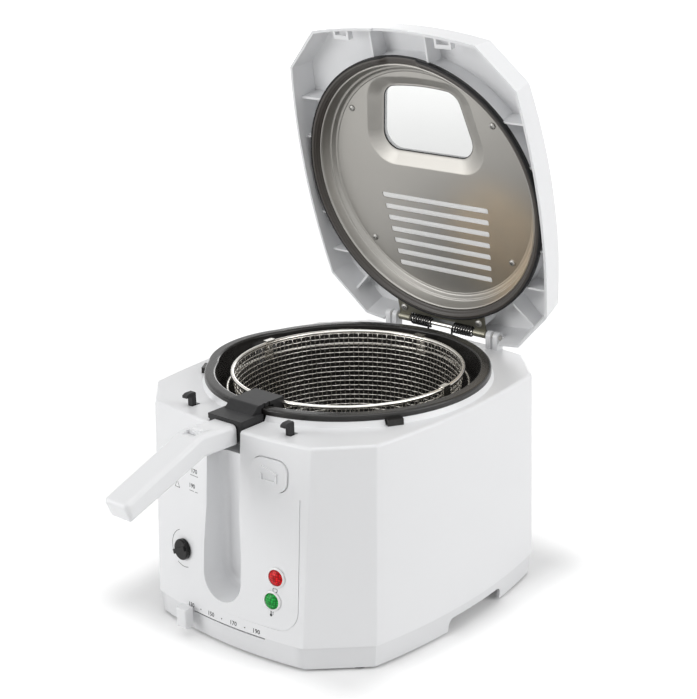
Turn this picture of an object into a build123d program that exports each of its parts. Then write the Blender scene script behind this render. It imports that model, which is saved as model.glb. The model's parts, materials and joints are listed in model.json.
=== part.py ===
"""Domestic deep fryer with a hinged lid, a lift-out wire basket and a folding basket handle.

Millimetres, +Z up, +Y towards the back, the controls face -Y.
The parts are drawn about the oil pot's axis with the table at Z = 0, and save() then sets the
origin under the middle of the whole fryer, standing open with its handle out.
The lid's parts are drawn shut and swung open about the hinge.
"""
from build123d import *
import os
from math import atan2, degrees, hypot, sqrt

os.makedirs("parts", exist_ok=True)

# ---------------------------------------------------------------- driving dimensions
# heights above the table
FOOT_DROP = 2.0          # the feet stand this far below the base
FLOOR_Z = 14.0           # underside of the base's floor
SKIRT_TOP = 20.3         # joint between the base and the body
DECK_Z = 174.0           # top of the body
COLLAR_H = 4.2           # raised ring under the pot's rim
RIM_H = 4.6              # rolled rim of the pot
POT_BOTTOM = 48.0        # inside of the pot
LID_RIM_Z = DECK_Z + 5.0  # lower edge of the lid when shut
LID_TOP_Z = LID_RIM_Z + 30.0  # top of its crown
HINGE_Z = DECK_Z + 10.1

# walls and clearances
WALL = 2.4
LID_WALL = 2.2
SHEET = 0.7              # pressed steel
GAP = 0.3                # between neighbours that only lie against each other
RUN = 0.05               # radial running clearance of pins and shafts

# body outline at its two ends: half front, front, half side, side front, side rear, half rear,
# rear, and how far the sides, the front and the rear bow out
BODY_W = 240.0           # across the bowed sides of the deck
DECK_BOWS = (8.0, 7.0, 6.0)
DECK_HALF_SIDE = BODY_W / 2 - DECK_BOWS[0]
BASE_HALF_SIDE = DECK_HALF_SIDE + 2.5
DECK_OUTLINE = (80.0, -131.5, DECK_HALF_SIDE, -99.0, 90.5, 80.0, 123.9, DECK_BOWS)
BASE_OUTLINE = (75.5, -143.0, BASE_HALF_SIDE, -106.5, 90.1, 76.0, 127.5, (10.5, 8.0, 6.0))
EDGE_R = 3.0             # rounding of the body's corners and deck edge
SKIRT_INSET = 0.8        # the base stands back from the body
SKIRT_DRAFT = 2.2
SKIRT_TONGUE = 3.0       # and reaches this far up into it
LEDGE_T = 2.0            # of the step below that tongue

# pot, its rim and the shield round it
RIM_R = 112.3            # outside of the rolled rim
RIM_W = 8.6
RIM_ROUND = 1.9
POT_R = 102.5            # inside of the pot at its top
POT_BASE_R = 93.0
POT_WALL = 1.5
POT_ROUND = 10.0         # inside, round its bottom
LIP_ANGLE = 187.0        # pouring lip at the left
LIP_OUT = 5.0
LIP_R = 80.0
LIP_DEPTH = 22.0
LUG_ANGLE = 32.0         # rim lugs, in front of the X axis
LUG_W = 12.0
LUG_R = 116.5
SHIELD_R = 107.0
SHIELD_BOTTOM = 30.0
SHIELD_TOP = DECK_Z - 20.0

# basket
BASKET_R = 90.5
BASKET_BASE_R = BASKET_R - 6.0
BASKET_TOP = DECK_Z + 7.0  # middle of its rim wire
BASKET_H = 85.0
BASKET_WALL = 1.6
RIM_WIRE = 3.2
HOOP_R = BASKET_R + 4.5
HOOP_Z = BASKET_TOP - 12.5
HOOP_WIRE = 2.4
CLIP_W = 9.0

# saddle that hangs the basket on the pot's rim
SADDLE_HALF = 14.2
SADDLE_TOP = DECK_Z + 12.0
SADDLE_BACK_Y = 2.0 - BASKET_R
SADDLE_RIDGE_Y = -115.8  # the top slopes down in front of this
SADDLE_ROUND = 3.0
FLANGE_TOP = DECK_Z + 6.2
FLANGE_T = 4.0
FLANGE_HALF = 16.8
FLANGE_Y = -136.9
FLANGE_BACK_Y = -122.6
SADDLE_LEG = 9.8         # the inner leg reaches this far below the top
HOOP_TONGUE_HALF = 10.0

# folding handle
PIVOT_Y, PIVOT_Z = -132.8, DECK_Z - 9.0
PIN_R = 2.0
KNUCKLE_R = 3.7
CHEEK_IN = 9.3           # the cheeks stand this far either side of the middle
CHEEK_HALF = 16.0
TONGUE_HALF = 9.0
SHOULDER_Y = -136.9 - GAP
HANDLE_HALF = 12.0
HANDLE_TOP = ((-136.9, DECK_Z + 3.1), (-169.5, DECK_Z + 5.2), (-245.5, DECK_Z - 22.8))
HANDLE_UNDER = ((-136.9, DECK_Z - 12.8), (-167.5, DECK_Z - 12.0), (-239.5, DECK_Z - 36.5))
HANDLE_EDGE_R = 3.5
HANDLE_SEAM = 0.34       # the lower shell is this share of the height
CATCH_Y = -161.5
CATCH_W, CATCH_L, CATCH_T = 11.0, 12.0, 2.4
CATCH_TRAVEL = 5.0

# handle recess in the front of the body
RECESS_TOP_HALF = 17.0
RECESS_LOW_HALF = 19.3
RECESS_ARC_Z = DECK_Z - 117.5
RECESS_BACK_Y = -123.1
RECESS_SILL_Z = DECK_Z - 26.5  # the back wall ends here and the saddle passes over it
RECESS_ROUND = 6.0

# controls on the front
BUTTON_X, BUTTON_Z = 45.0, DECK_Z - 26.1
BUTTON_W, BUTTON_H, BUTTON_R = 31.0, 23.5, 8.5
BUTTON_PROUD = 1.3
BUTTON_TRAVEL = 3.0
BUTTON_GAP = 0.6
POWER_LAMP = (52.0, 70.6)
HEAT_LAMP = (48.8, 51.7)
LAMP_R = 6.8
LENS_RISE = 2.2          # height of the lens's dome
BEZEL_T = 0.5
KNOB_X, KNOB_Z, KNOB_R = -42.5, 66.3, 8.2
KNOB_H = 3.6
KNOB_SHAFT_R = 2.5
KNOB_POINT = 205.0       # where its pointer rests
TIMER_W, TIMER_D = 34.0, 20.0
PANEL_HALF, PANEL_BOTTOM_Z, PANEL_R = 71.5, 29.6, 18.0
PANEL_GROOVE = 0.7
PANEL_FADE = 0.9         # degrees; the groove fades out towards the left

# temperature slider and the thermostat's lever behind it
SLIDER_X = -34.0
SLIDER_TRAVEL = 68.6
SLIDER_W = 10.5
SLIDER_Y = -160.5
SLIDER_D = 7.8
SLIDER_BOTTOM, SLIDER_TOP = 8.4, 24.4
SLOT_DROP = 1.9          # the base stands this much lower along the slot
CARRIAGE_HALF = 7.0      # the slider's carriage behind the slot
SLIDER_PIN_Y = -136.5
SLIDER_PIN_R = 1.5
LEVER_Y = -37.0
LEVER_Z = 24.0
LEVER_T = 1.6
SPINDLE_R = 3.0
LEVER_PLAY = 0.8         # of the slider's pin in the lever's slot

# latch
HOOK_X, HOOK_W = 50.0, 4.6
HOOK_Y, HOOK_D = -123.2, 4.2
HOOK_NOSE = 5.5
HOOK_TOP = DECK_Z + 10.5
YOKE_Z, YOKE_H = DECK_Z - 46.0, 6.0
YOKE_Y, YOKE_D = RECESS_BACK_Y + WALL + 1.2, 3.5
KEEPER_W, KEEPER_T = 15.5, 2.0
KEEPER_Y, KEEPER_D = -130.0, 3.2

# lid
LID_DRAFT = 0.16         # its walls lean in by this much per millimetre of height
CROWN_R = 1530.0
RIB_Z = LID_RIM_Z + 7.4  # lower edges of the stiffening ribs
RIB_T = 1.8
FRONT_RIB_X = 27.0
SIDE_RIBS_Y = (-69.5, -34.5, 1.0, 35.5, 70.5)
RING_R = 113.0           # wall that carries the seal
SEAL_R = 114.3
SEAL_IN_R = 105.6
SEAL_TOP = LID_RIM_Z + 9.0
DISC_Z = LID_RIM_Z + 19.4
DISC_R = 98.9
LEDGE_R, LEDGE_Z = 104.2, LID_RIM_Z + 12.6
LEDGE_W = 2.8
GLASS_Z = LID_RIM_Z + 25.0
GLASS_T = 2.6
GLASS_SEAT = 4.0         # the glass reaches this far past its opening
FRAME_TOP = LID_TOP_Z + 0.4
# window in the disc: rear edge, half width there, half width in front, front corners, bow
WINDOW = (-25.2, 48.2, 36.2, -80.0, 3.1)
WINDOW_R = 14.0
BEVEL = (-14.1, 63.5, 49.0, -87.0, 5.0)
BEVEL_R = 24.0
BEVEL_ROUND = 3.0        # where the pressed bevel meets the disc
SLOT_PITCH, SLOT_H, SLOT_COUNT, SLOT_Y = 10.4, 4.9, 7, 15.5
SLOT_HALF, SLOT_SHRINK = 54.0, 1.05
DISC_SCREWS = ((-70.5, -59.5), (70.5, -59.5), (-71.0, 58.0), (71.0, 58.0))
FILTER_Y, FILTER_W, FILTER_L, FILTER_R = 46.7, 116.0, 72.0, 10.0
COVER_LAP = 4.0
COVER_T = 2.0

# hinge
HINGE_Y = 122.0
LID_OPEN = 76.5          # degrees
ROD_R = 2.0
POST_XS, POST_HALF, POST_R = (49.3, 56.3), 2.2, ROD_R + 2.2
KNUCKLE_X, KNUCKLE_L, KNUCKLE_OUT = 33.5, 11.5, ROD_R + 1.3
SPRING_X, SPRING_L, SPRING_OUT, SPRING_IN = 11.5, 20.5, ROD_R + 2.8, ROD_R + 0.4
BRACKET_T = 1.2
HINGE_SCREW = (39.0, 112.6)
HINGE_NOTCH_HALF, HINGE_NOTCH_TOP = 60.0, HINGE_Z + 5.9

# what stands in the base
FRONT_FOOT_X, REAR_FOOT_X = BASE_HALF_SIDE - 17.0, BASE_HALF_SIDE - 20.5
FEET = ((-FRONT_FOOT_X, -106.5), (FRONT_FOOT_X, -106.5), (-REAR_FOOT_X, 88.0), (REAR_FOOT_X, 88.0))
FOOT_R = 7.2
FOOT_PEG_R = 2.5
FOOT_SINK = 1.5          # of the foot in its seat
SCREW_X = BASE_HALF_SIDE - 16.5
BASE_SCREWS = ((-SCREW_X, -70.0), (SCREW_X, -70.0), (-SCREW_X, 60.0), (SCREW_X, 60.0))
SCREW_R = 1.6
CORD_X, CORD_Z, CORD_R = 58.0, 34.0, 3.6
ARCH_Y, ARCH_L = 3.5, 68.0
ELEMENT_R, ELEMENT_TUBE = 68.0, 4.0
PLATE_R, PLATE_T = 84.0, 4.0

ORIGIN_Y = 51.3          # the pot's axis lies this far behind the origin

# heights and places that follow
RIM_Z = DECK_Z + COLLAR_H
RIM_TOP = RIM_Z + RIM_H
SEAL_Z = RIM_TOP + GAP
FLOOR_TOP = FLOOR_Z + WALL
LEVER_X = SLIDER_X + SLIDER_TRAVEL / 2       # the lever's spindle stands behind mid travel
MIN_Z = (Align.CENTER, Align.CENTER, Align.MIN)


# ---------------------------------------------------------------- helpers
def save(name, *shapes):
    """Write one sub-part about the fryer's origin: a single solid, or a group of separate solids."""
    solids = [solid for shape in shapes for solid in (Pos(0, ORIGIN_Y, 0) * shape).solids()]
    part = solids[0] if len(solids) == 1 else Compound(children=solids)
    part.label = name
    export_step(part, f"parts/{name}.step")


def opened(shape):
    """Swing a part of the shut lid to its open rest position."""
    return shape.rotate(Axis((0, HINGE_Y, HINGE_Z), (1, 0, 0)), -LID_OPEN)


def both_sides(shape):
    """A shape and its mirror image across the middle."""
    return [shape, mirror(shape, Plane.YZ)]


def box(x_low, x_high, y_low, y_high, z_low, z_high):
    """Box from its limits."""
    middle = Pos((x_low + x_high) / 2, (y_low + y_high) / 2, (z_low + z_high) / 2)
    return middle * Box(x_high - x_low, y_high - y_low, z_high - z_low)


def turned(points, rounds=None):
    """Revolve a closed outline of (radius, height) points about the pot's axis.

    rounds gives the radius of each corner that is rounded, by the place of its point.
    """
    face = make_face(Polyline(*[(r, 0, z) for r, z in points], close=True))
    for index, radius in (rounds or {}).items():
        r, z = points[index]
        face = fillet(face.vertices().sort_by_distance((r, 0, z))[0], radius)
    return revolve(face, Axis.Z)


def rod_x(radius, x_low, x_high, y, z):
    """Round bar along X."""
    return Pos((x_low + x_high) / 2, y, z) * Rotation(0, 90, 0) * Cylinder(radius, x_high - x_low)


def from_front(face, y_front, y_back):
    """Extrude a face drawn in X and Z from one depth back to another."""
    return Pos(0, y_front, 0) * extrude(Plane.XZ * face, amount=-(y_back - y_front))


def from_side(points, half):
    """Extrude a closed outline of (Y, Z) points to both sides of the middle."""
    outline = Polyline(*[(0, y, z) for y, z in points], close=True)
    return extrude(make_face(outline), amount=half, dir=(1, 0, 0), both=True)


def sheet_section(points, thickness):
    """Closed outline of a bent sheet: the given points and the same line set off to its left."""
    moved = []
    for i, point in enumerate(points):
        here = Vector(point)
        before = Vector(points[max(i - 1, 0)])
        after = Vector(points[min(i + 1, len(points) - 1)])
        a = here - before if i > 0 else after - here
        b = after - here if i < len(points) - 1 else here - before
        a, b = a / a.length, b / b.length
        bisector = Vector(-a.Y - b.Y, a.X + b.X)
        moved.append(here + bisector * (2 * thickness / bisector.length**2))
    return list(points) + [(v.X, v.Y) for v in reversed(moved)]


def inset_corners(corners, inset):
    """Corners of a counter-clockwise polygon whose sides all move inwards."""
    moved = []
    for i, corner in enumerate(corners):
        before, after = corners[i - 1], corners[(i + 1) % len(corners)]
        a = Vector(corner) - Vector(before)
        b = Vector(after) - Vector(corner)
        a, b = a / a.length, b / b.length
        bisector = Vector(-a.Y - b.Y, a.X + b.X)
        moved.append(Vector(corner) + bisector * (2 * inset / bisector.length**2))
    return [(v.X, v.Y) for v in moved]


def rising_edges(shape):
    """Edges that climb from the bottom of a block to its top."""
    return [e for e in shape.edges() if abs((e @ 1).Z - (e @ 0).Z) > 10]


def octagon(outline, z, inset=0.0):
    """Face of the body's outline: four straight corners between four bowed sides."""
    half_front, front, half_side, side_front, side_rear, half_rear, rear, bows = outline
    side_bow, front_bow, rear_bow = bows
    corners = [(-half_front, front), (half_front, front), (half_side, side_front), (half_side, side_rear),
               (half_rear, rear), (-half_rear, rear), (-half_side, side_rear), (-half_side, side_front)]
    p = inset_corners(corners, inset)
    middle = (side_front + side_rear) / 2
    edges = [
        ThreePointArc(p[0], (0, front - front_bow + inset), p[1]),
        Line(p[1], p[2]),
        ThreePointArc(p[2], (half_side + side_bow - inset, middle), p[3]),
        Line(p[3], p[4]),
        ThreePointArc(p[4], (0, rear + rear_bow - inset), p[5]),
        Line(p[5], p[6]),
        ThreePointArc(p[6], (-half_side - side_bow + inset, middle), p[7]),
        Line(p[7], p[0]),
    ]
    return Pos(0, 0, z) * make_face(edges)


def outline_at(z):
    """Body outline at a height, between the base's and the deck's."""
    t = (z - SKIRT_TOP) / (DECK_Z - SKIRT_TOP)
    plain = [a + (b - a) * t for a, b in zip(BASE_OUTLINE[:-1], DECK_OUTLINE[:-1])]
    bows = tuple(a + (b - a) * t for a, b in zip(BASE_OUTLINE[-1], DECK_OUTLINE[-1]))
    return (*plain, bows)


def body_block(z_low, z_high, inset=0.0):
    """Solid of the body's leaning outline between two heights."""
    ends = [octagon(outline_at(z), z, inset) for z in (z_low, z_high)]
    return loft(ends, ruled=True)


def wall_y(x, z, rear=False):
    """Where the body's front or rear surface is, at a place across and a height."""
    outline = outline_at(z)
    side_bow, front_bow, rear_bow = outline[-1]
    half, edge, bow = (outline[5], outline[6], rear_bow) if rear else (outline[0], -outline[1], front_bow)
    radius = (half**2 + bow**2) / (2 * bow)
    depth = edge + bow - radius + sqrt(radius**2 - x**2)
    return depth if rear else -depth


def on_wall(x, z, rear=False):
    """Frame on the front or rear surface: +Z straight out of it, +Y up along it."""
    turn = degrees(atan2(wall_y(x + 1, z, rear) - wall_y(x - 1, z, rear), 2))
    lean = degrees(atan2(wall_y(x, z + 1, rear) - wall_y(x, z - 1, rear), 2))
    if rear:
        turn, lean = turn + 180, -lean
    return Location((x, wall_y(x, z, rear), z)) * Rotation(0, 0, turn) * Rotation(90 - lean, 0, 0)


def pan_screw(head_r, length):
    """Pan-head screw: head above Z = 0, shank below."""
    head = Cylinder(head_r, head_r * 0.6, align=MIN_Z)
    head = chamfer(head.edges().sort_by(Axis.Z)[-1], head_r * 0.3)
    return head + Pos(0, 0, -length / 2) * Cylinder(head_r * 0.5, length)


# ---------------------------------------------------------------- body
def recess_face(grow=0.0, top=DECK_Z + 10):
    """Outline of the handle recess: a straight channel that widens to a round foot."""
    upper, lower = RECESS_TOP_HALF + grow, RECESS_LOW_HALF + grow
    side = [(upper, top), (upper, RECESS_ARC_Z + 52), (lower, RECESS_ARC_Z + 22), (lower, RECESS_ARC_Z)]
    other = [(-x, z) for x, z in reversed(side)]
    foot = ThreePointArc(side[-1], (0, RECESS_ARC_Z - lower), other[0])
    return make_face([*Polyline(*side).edges(), foot, *Polyline(*other).edges(), Line(other[-1], side[0])])


def at_lip(shape):
    """Set a shape drawn about the pouring lip's own axis in its place."""
    return Rotation(0, 0, LIP_ANGLE) * Pos(RIM_R + LIP_OUT - LIP_R, 0, 0) * shape


def lip_flare(grow, z_low, rounded=False):
    """The pouring lip's inside, grown by a thickness: a flare that ends above the rim."""
    top = LIP_R - RIM_W + grow
    low = top - (LIP_OUT + 2) * (RIM_Z - z_low) / LIP_DEPTH
    wide = top + RIM_ROUND + 1 if rounded else top + 0.1
    return at_lip(turned([(0, z_low), (low, z_low), (top, RIM_Z), (top, RIM_TOP), (wide, RIM_TOP),
                          (wide, RIM_TOP + 2), (0, RIM_TOP + 2)], {3: RIM_ROUND} if rounded else None))


def lug_places():
    """Frames at the rim's two lugs, +X pointing outwards."""
    return [Rotation(0, 0, -LUG_ANGLE), Rotation(0, 0, 180 + LUG_ANGLE)]


def make_collar():
    """Ring on the deck that the pot's rim sits on, with the lip's bulge."""
    slope = 2.0
    ring = turned([(POT_R, DECK_Z - WALL), (RIM_R + slope, DECK_Z - WALL), (RIM_R + slope, DECK_Z),
                   (RIM_R - GAP, RIM_Z), (POT_R, RIM_Z)])
    bulge = at_lip(Pos(0, 0, DECK_Z - WALL) * Cylinder(LIP_R - GAP, RIM_Z - DECK_Z + WALL, align=MIN_Z))
    collar = ring + (bulge - Cylinder(POT_R, 500))
    for lug in lug_places():
        collar = collar - lug * box(POT_R, LUG_R + 1, -LUG_W / 2 - 1, LUG_W / 2 + 1, DECK_Z, RIM_Z + 1)
    return collar


def make_hinge_posts():
    posts = []
    for x in POST_XS:
        post = box(x - POST_HALF, x + POST_HALF, HINGE_Y - POST_R, HINGE_Y + POST_R, DECK_Z - WALL, HINGE_Z)
        post = post + rod_x(POST_R, x - POST_HALF, x + POST_HALF, HINGE_Y, HINGE_Z)
        posts += both_sides(post)
    return posts


def make_housing():
    outer = body_block(SKIRT_TOP, DECK_Z)
    outer = fillet(rising_edges(outer), EDGE_R)
    outer = fillet(outer.edges().group_by(Axis.Z)[-1], EDGE_R - 0.5)
    body = outer - body_block(SKIRT_TOP - 1, DECK_Z - WALL, WALL)

    # handle recess, then the gap in the deck that the saddle lies in
    trough = from_front(recess_face(WALL, DECK_Z), -200, RECESS_BACK_Y + WALL) & outer
    gap_back = -SHIELD_R - 3
    reach = RECESS_TOP_HALF + WALL
    trough = trough + box(-reach, reach, RECESS_BACK_Y, gap_back, RECESS_SILL_Z - WALL, DECK_Z)
    recess = from_front(recess_face(), -200, RECESS_BACK_Y)
    back_edges = recess.edges().group_by(Axis.Y)[-1].filter_by(lambda e: e.center().Z < DECK_Z)
    recess = fillet(back_edges, RECESS_ROUND)
    gap = box(-RECESS_TOP_HALF, RECESS_TOP_HALF, RECESS_BACK_Y - RECESS_ROUND, -POT_R, RECESS_SILL_Z, RIM_TOP)
    body = body + trough + make_collar() - recess - gap
    bore_r = POT_R + POT_WALL + 3.7
    body = body - Cylinder(bore_r, 500)
    body = body - lip_flare(POT_WALL + 1.5, DECK_Z - WALL - 1)

    # openings of the controls
    button_hole = Pos(BUTTON_X, BUTTON_Z) * RectangleRounded(
        BUTTON_W + 2 * BUTTON_GAP, BUTTON_H + 2 * BUTTON_GAP, BUTTON_R + BUTTON_GAP)
    body = body - from_front(button_hole, -170, RECESS_BACK_Y)
    for x, z in (POWER_LAMP, HEAT_LAMP):
        body = body - on_wall(x, z) * Cylinder(LAMP_R, 20)
    body = body - on_wall(KNOB_X, KNOB_Z) * Cylinder(KNOB_SHAFT_R + 1, 20)

    # fine groove round the right side of the control area
    height = 2 * (DECK_Z - PANEL_BOTTOM_Z)
    outline = RectangleRounded(2 * PANEL_HALF, height, PANEL_R)
    inside = RectangleRounded(2 * (PANEL_HALF - PANEL_GROOVE), height - 2 * PANEL_GROOVE,
                              PANEL_R - PANEL_GROOVE)
    groove = from_front(Pos(0, DECK_Z) * (outline - inside), -170, -110)
    groove = groove & box(0, 90, -170, -110, 0, DECK_Z - 40)
    body = body - (groove - Rotation(0, 0, PANEL_FADE) * body_block(SKIRT_TOP - 1, DECK_Z))

    # latch slots, hinge posts and the bore of the hinge rod
    slot = box(HOOK_X - HOOK_W / 2 - 0.5, HOOK_X + HOOK_W / 2 + 0.5, HOOK_Y - 0.6,
               HOOK_Y + HOOK_D + BUTTON_TRAVEL + 0.6, DECK_Z - 10, DECK_Z + 1)
    for piece in both_sides(slot):
        body = body - piece
    for post in make_hinge_posts():
        body = body + post
    body = body - rod_x(ROD_R, -70, 70, HINGE_Y, HINGE_Z)

    # cord opening and screw bosses
    body = body - on_wall(CORD_X, CORD_Z, rear=True) * Cylinder(CORD_R + 3, 40)
    for x, y in BASE_SCREWS:
        side = 1 if x > 0 else -1
        boss = Cylinder(4.5, 40, align=MIN_Z) - Cylinder(SCREW_R, 40, align=MIN_Z)
        web = box(x + side * 12 - 9, x + side * 12 + 9, y - 1, y + 1, SKIRT_TOP + 4, SKIRT_TOP + 40)
        body = body + Pos(x, y, SKIRT_TOP) * boss + (web & body_block(SKIRT_TOP, DECK_Z, WALL / 2))
    return body


def make_base():
    rim = outline_at(SKIRT_TOP)
    outer = loft([octagon(rim, FOOT_DROP, SKIRT_INSET + SKIRT_DRAFT), octagon(rim, SKIRT_TOP, SKIRT_INSET)],
                 ruled=True)
    inner = loft([octagon(rim, FOOT_DROP, SKIRT_INSET + SKIRT_DRAFT + WALL),
                  octagon(rim, SKIRT_TOP, SKIRT_INSET + WALL)], ruled=True)
    floor = inner & box(-200, 200, -200, 200, FLOOR_Z, FLOOR_TOP)
    tongue_in = 2 * WALL + 2 * GAP
    tongue = extrude(octagon(rim, SKIRT_TOP, WALL + 2 * GAP) - octagon(rim, SKIRT_TOP, tongue_in),
                     amount=SKIRT_TONGUE)
    ledge = extrude(octagon(rim, SKIRT_TOP, SKIRT_INSET + WALL / 2) - octagon(rim, SKIRT_TOP, tongue_in),
                    amount=-LEDGE_T)
    base = outer - inner + floor + tongue + ledge

    # finger arches under the two sides, and the lower stretch along the slider's slot
    arch = Pos(ARCH_Y, FOOT_DROP) * RectangleRounded(ARCH_L, 2 * (FLOOR_Z - FOOT_DROP - 1.5), 5)
    base = base - extrude(Plane.YZ.offset(-200) * arch, amount=400)
    margin = CARRIAGE_HALF + GAP
    base = base - box(SLIDER_X - margin, SLIDER_X + SLIDER_TRAVEL + margin, -200, SLIDER_PIN_Y + 8,
                      SKIRT_TOP - SLOT_DROP, SKIRT_TOP + 10)

    # seats of the screws and the feet
    for x, y in BASE_SCREWS:
        base = base + Pos(x, y, FLOOR_Z) * Cylinder(6.5, SKIRT_TOP - FLOOR_Z, align=MIN_Z)
    for x, y in FEET:
        seat = Pos(x, y, FOOT_DROP) * Cylinder(FOOT_R + 1.3, FLOOR_Z - FOOT_DROP, align=MIN_Z)
        base = base + (seat & outer)
    for x, y in BASE_SCREWS:
        base = base - Pos(x, y, 0) * Cylinder(SCREW_R + 0.2, 60, align=MIN_Z)
        base = base - Pos(x, y, 0) * Cylinder(4.4, FLOOR_TOP, align=MIN_Z)
    for x, y in FEET:
        base = base - Pos(x, y, 0) * Cylinder(FOOT_R + 0.2, FOOT_DROP + FOOT_SINK, align=MIN_Z)
        base = base - Pos(x, y, FOOT_DROP + FOOT_SINK) * Cylinder(FOOT_PEG_R, 4.0, align=MIN_Z)

    # cooling slots under the middle
    for i in range(-3, 4):
        base = base - Pos(i * 9, 30, 0) * extrude(SlotOverall(50, 3.5, rotation=90), amount=30)
    return base


def make_feet():
    foot = Cylinder(FOOT_R, FOOT_DROP + FOOT_SINK, align=MIN_Z)
    foot = chamfer(foot.edges().sort_by(Axis.Z)[0], 0.6)
    foot = foot + Pos(0, 0, FOOT_DROP + FOOT_SINK) * Cylinder(FOOT_PEG_R, 3.8, align=MIN_Z)
    return [Pos(x, y, 0) * foot for x, y in FEET]


def make_base_screws():
    screw = Rotation(180, 0, 0) * pan_screw(2 * SCREW_R, 22)
    return [Pos(x, y, FLOOR_TOP) * screw for x, y in BASE_SCREWS]


def make_cord_gland():
    """Rubber bush in the rear wall: a collar outside, a tapered tail, and a bead inside."""
    neck = CORD_R + 3
    inside = -WALL - 0.3
    bush = turned([(CORD_R, 11), (neck - 1, 11), (neck, 2.5), (neck + 2.5, 2.5), (neck + 2.5, 0.3),
                   (neck, 0.3), (neck, inside), (neck + 1.5, inside), (neck + 1.5, inside - 2.5),
                   (CORD_R, inside - 2.5)])
    return on_wall(CORD_X, CORD_Z, rear=True) * bush


# ---------------------------------------------------------------- pot and heating
def make_pot():
    bottom = POT_BOTTOM - POT_WALL
    outside = turned([(0, bottom), (POT_BASE_R + POT_WALL, bottom), (POT_R + POT_WALL, RIM_Z),
                      (RIM_R, RIM_Z), (RIM_R, RIM_TOP), (0, RIM_TOP)],
                     {1: POT_ROUND + POT_WALL, 4: RIM_ROUND})
    inner_r = RIM_R - RIM_W
    wide = inner_r + RIM_ROUND + 1
    inside = turned([(0, POT_BOTTOM), (POT_BASE_R, POT_BOTTOM), (POT_R, RIM_Z - 4), (inner_r, RIM_TOP),
                     (wide, RIM_TOP), (wide, RIM_TOP + 2), (0, RIM_TOP + 2)], {1: POT_ROUND, 3: RIM_ROUND})
    bead = at_lip(turned([(0, RIM_Z), (LIP_R, RIM_Z), (LIP_R, RIM_TOP), (0, RIM_TOP)], {2: RIM_ROUND}))
    flare = lip_flare(POT_WALL, RIM_Z - LIP_DEPTH) & Cylinder(200, 2 * RIM_TOP - 2)
    pot = outside + bead + flare - inside - lip_flare(0, RIM_Z - LIP_DEPTH, rounded=True)
    for lug in lug_places():
        pot = pot + lug * box(RIM_R - 3, LUG_R, -LUG_W / 2, LUG_W / 2, DECK_Z, RIM_Z + 0.6)
    return pot


def make_heat_shield():
    """Steel sleeve round the pot, standing on four tabs."""
    sleeve = Pos(0, 0, FLOOR_TOP) * Cylinder(SHIELD_R + SHEET, SHIELD_TOP - FLOOR_TOP, align=MIN_Z)
    sleeve = sleeve - Cylinder(SHIELD_R, 500)
    keep = box(-9, 9, -200, 200, 0, SHIELD_BOTTOM)
    keep = Rotation(0, 0, 60) * keep + Rotation(0, 0, -60) * keep
    low = box(-200, 200, -200, 200, 0, SHIELD_BOTTOM)
    return sleeve - (low - keep)


def make_heating_element():
    """Sheathed element bent to an open ring, with a sleeve on each of its two ends."""
    z = POT_BOTTOM - POT_WALL - PLATE_T - ELEMENT_TUBE - 0.1
    mouth = 24.0
    tube = Plane.XZ * Pos(ELEMENT_R, z) * Circle(ELEMENT_TUBE)
    ring = Rotation(0, 0, 90 + mouth / 2) * revolve(tube, Axis.Z, 360 - mouth)
    for side in (-1, 1):
        sleeve = Pos(ELEMENT_R, 0, z - 16) * Cylinder(ELEMENT_TUBE + 1.5, 16 + ELEMENT_TUBE, align=MIN_Z)
        ring = ring + Rotation(0, 0, 90 + side * mouth / 2) * sleeve
    return ring


def make_element_plate():
    """Aluminium plate that spreads the heat over the pot's bottom."""
    z = POT_BOTTOM - POT_WALL - PLATE_T
    return Pos(0, 0, z) * Cylinder(PLATE_R, PLATE_T, align=MIN_Z)


def make_thermal_cutout():
    z = POT_BOTTOM - POT_WALL - PLATE_T
    can = Pos(30, 24, z - 6) * Cylinder(8, 6, align=MIN_Z)
    blades = [box(30 + x - 3, 30 + x + 3, 23.6, 24.4, z - 14, z - 6) for x in (-4, 4)]
    return can + blades[0] + blades[1]


def make_thermostat():
    """Control body on the base's floor, its spindle standing up through the lever."""
    case = box(LEVER_X - 17, LEVER_X + 17, LEVER_Y - 14, LEVER_Y + 14, FLOOR_TOP, LEVER_Z - 2)
    case = fillet(case.edges().filter_by(Axis.Z), 3)
    spindle = Pos(LEVER_X, LEVER_Y, LEVER_Z - 2) * Cylinder(SPINDLE_R, LEVER_T + 3, align=MIN_Z)
    return case + spindle


def make_thermostat_lever():
    """Flat lever on the spindle; its slot takes the slider's pin."""
    reach_mid = LEVER_Y - SLIDER_PIN_Y
    reach_end = hypot(reach_mid, SLIDER_TRAVEL / 2)
    slot_half = SLIDER_PIN_R + LEVER_PLAY
    boss = Cylinder(SPINDLE_R + 4, LEVER_T, align=MIN_Z)
    tail = box(-5, 5, -reach_end - slot_half - 2, 0, 0, LEVER_T)
    slot_length = reach_end - reach_mid + 2 * slot_half + 1
    slot = extrude(SlotOverall(slot_length, 2 * slot_half, rotation=90), amount=LEVER_T)
    slot = Pos(0, -(reach_end + reach_mid) / 2, 0) * slot
    lever = boss + tail - slot - Cylinder(SPINDLE_R + RUN, 10)
    swing = degrees(atan2(SLIDER_X - LEVER_X, reach_mid))
    return Pos(LEVER_X, LEVER_Y, LEVER_Z) * Rotation(0, 0, swing) * lever


def make_terminal_block():
    block = box(44, 74, 96, 110, FLOOR_TOP, SHIELD_BOTTOM - 2)
    for i in range(3):
        block = block - Pos(50 + i * 9, 103, FLOOR_TOP + 8) * Cylinder(2.4, 10, align=MIN_Z)
    return block


# ---------------------------------------------------------------- controls
def front_plate(face, outset, inset):
    """A face seen from the front, cut from a layer that follows the front surface."""
    layer = body_block(SKIRT_TOP, DECK_Z, -outset) - body_block(SKIRT_TOP - 1, DECK_Z + 1, inset)
    return from_front(face, -170, RECESS_BACK_Y) & layer


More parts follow.
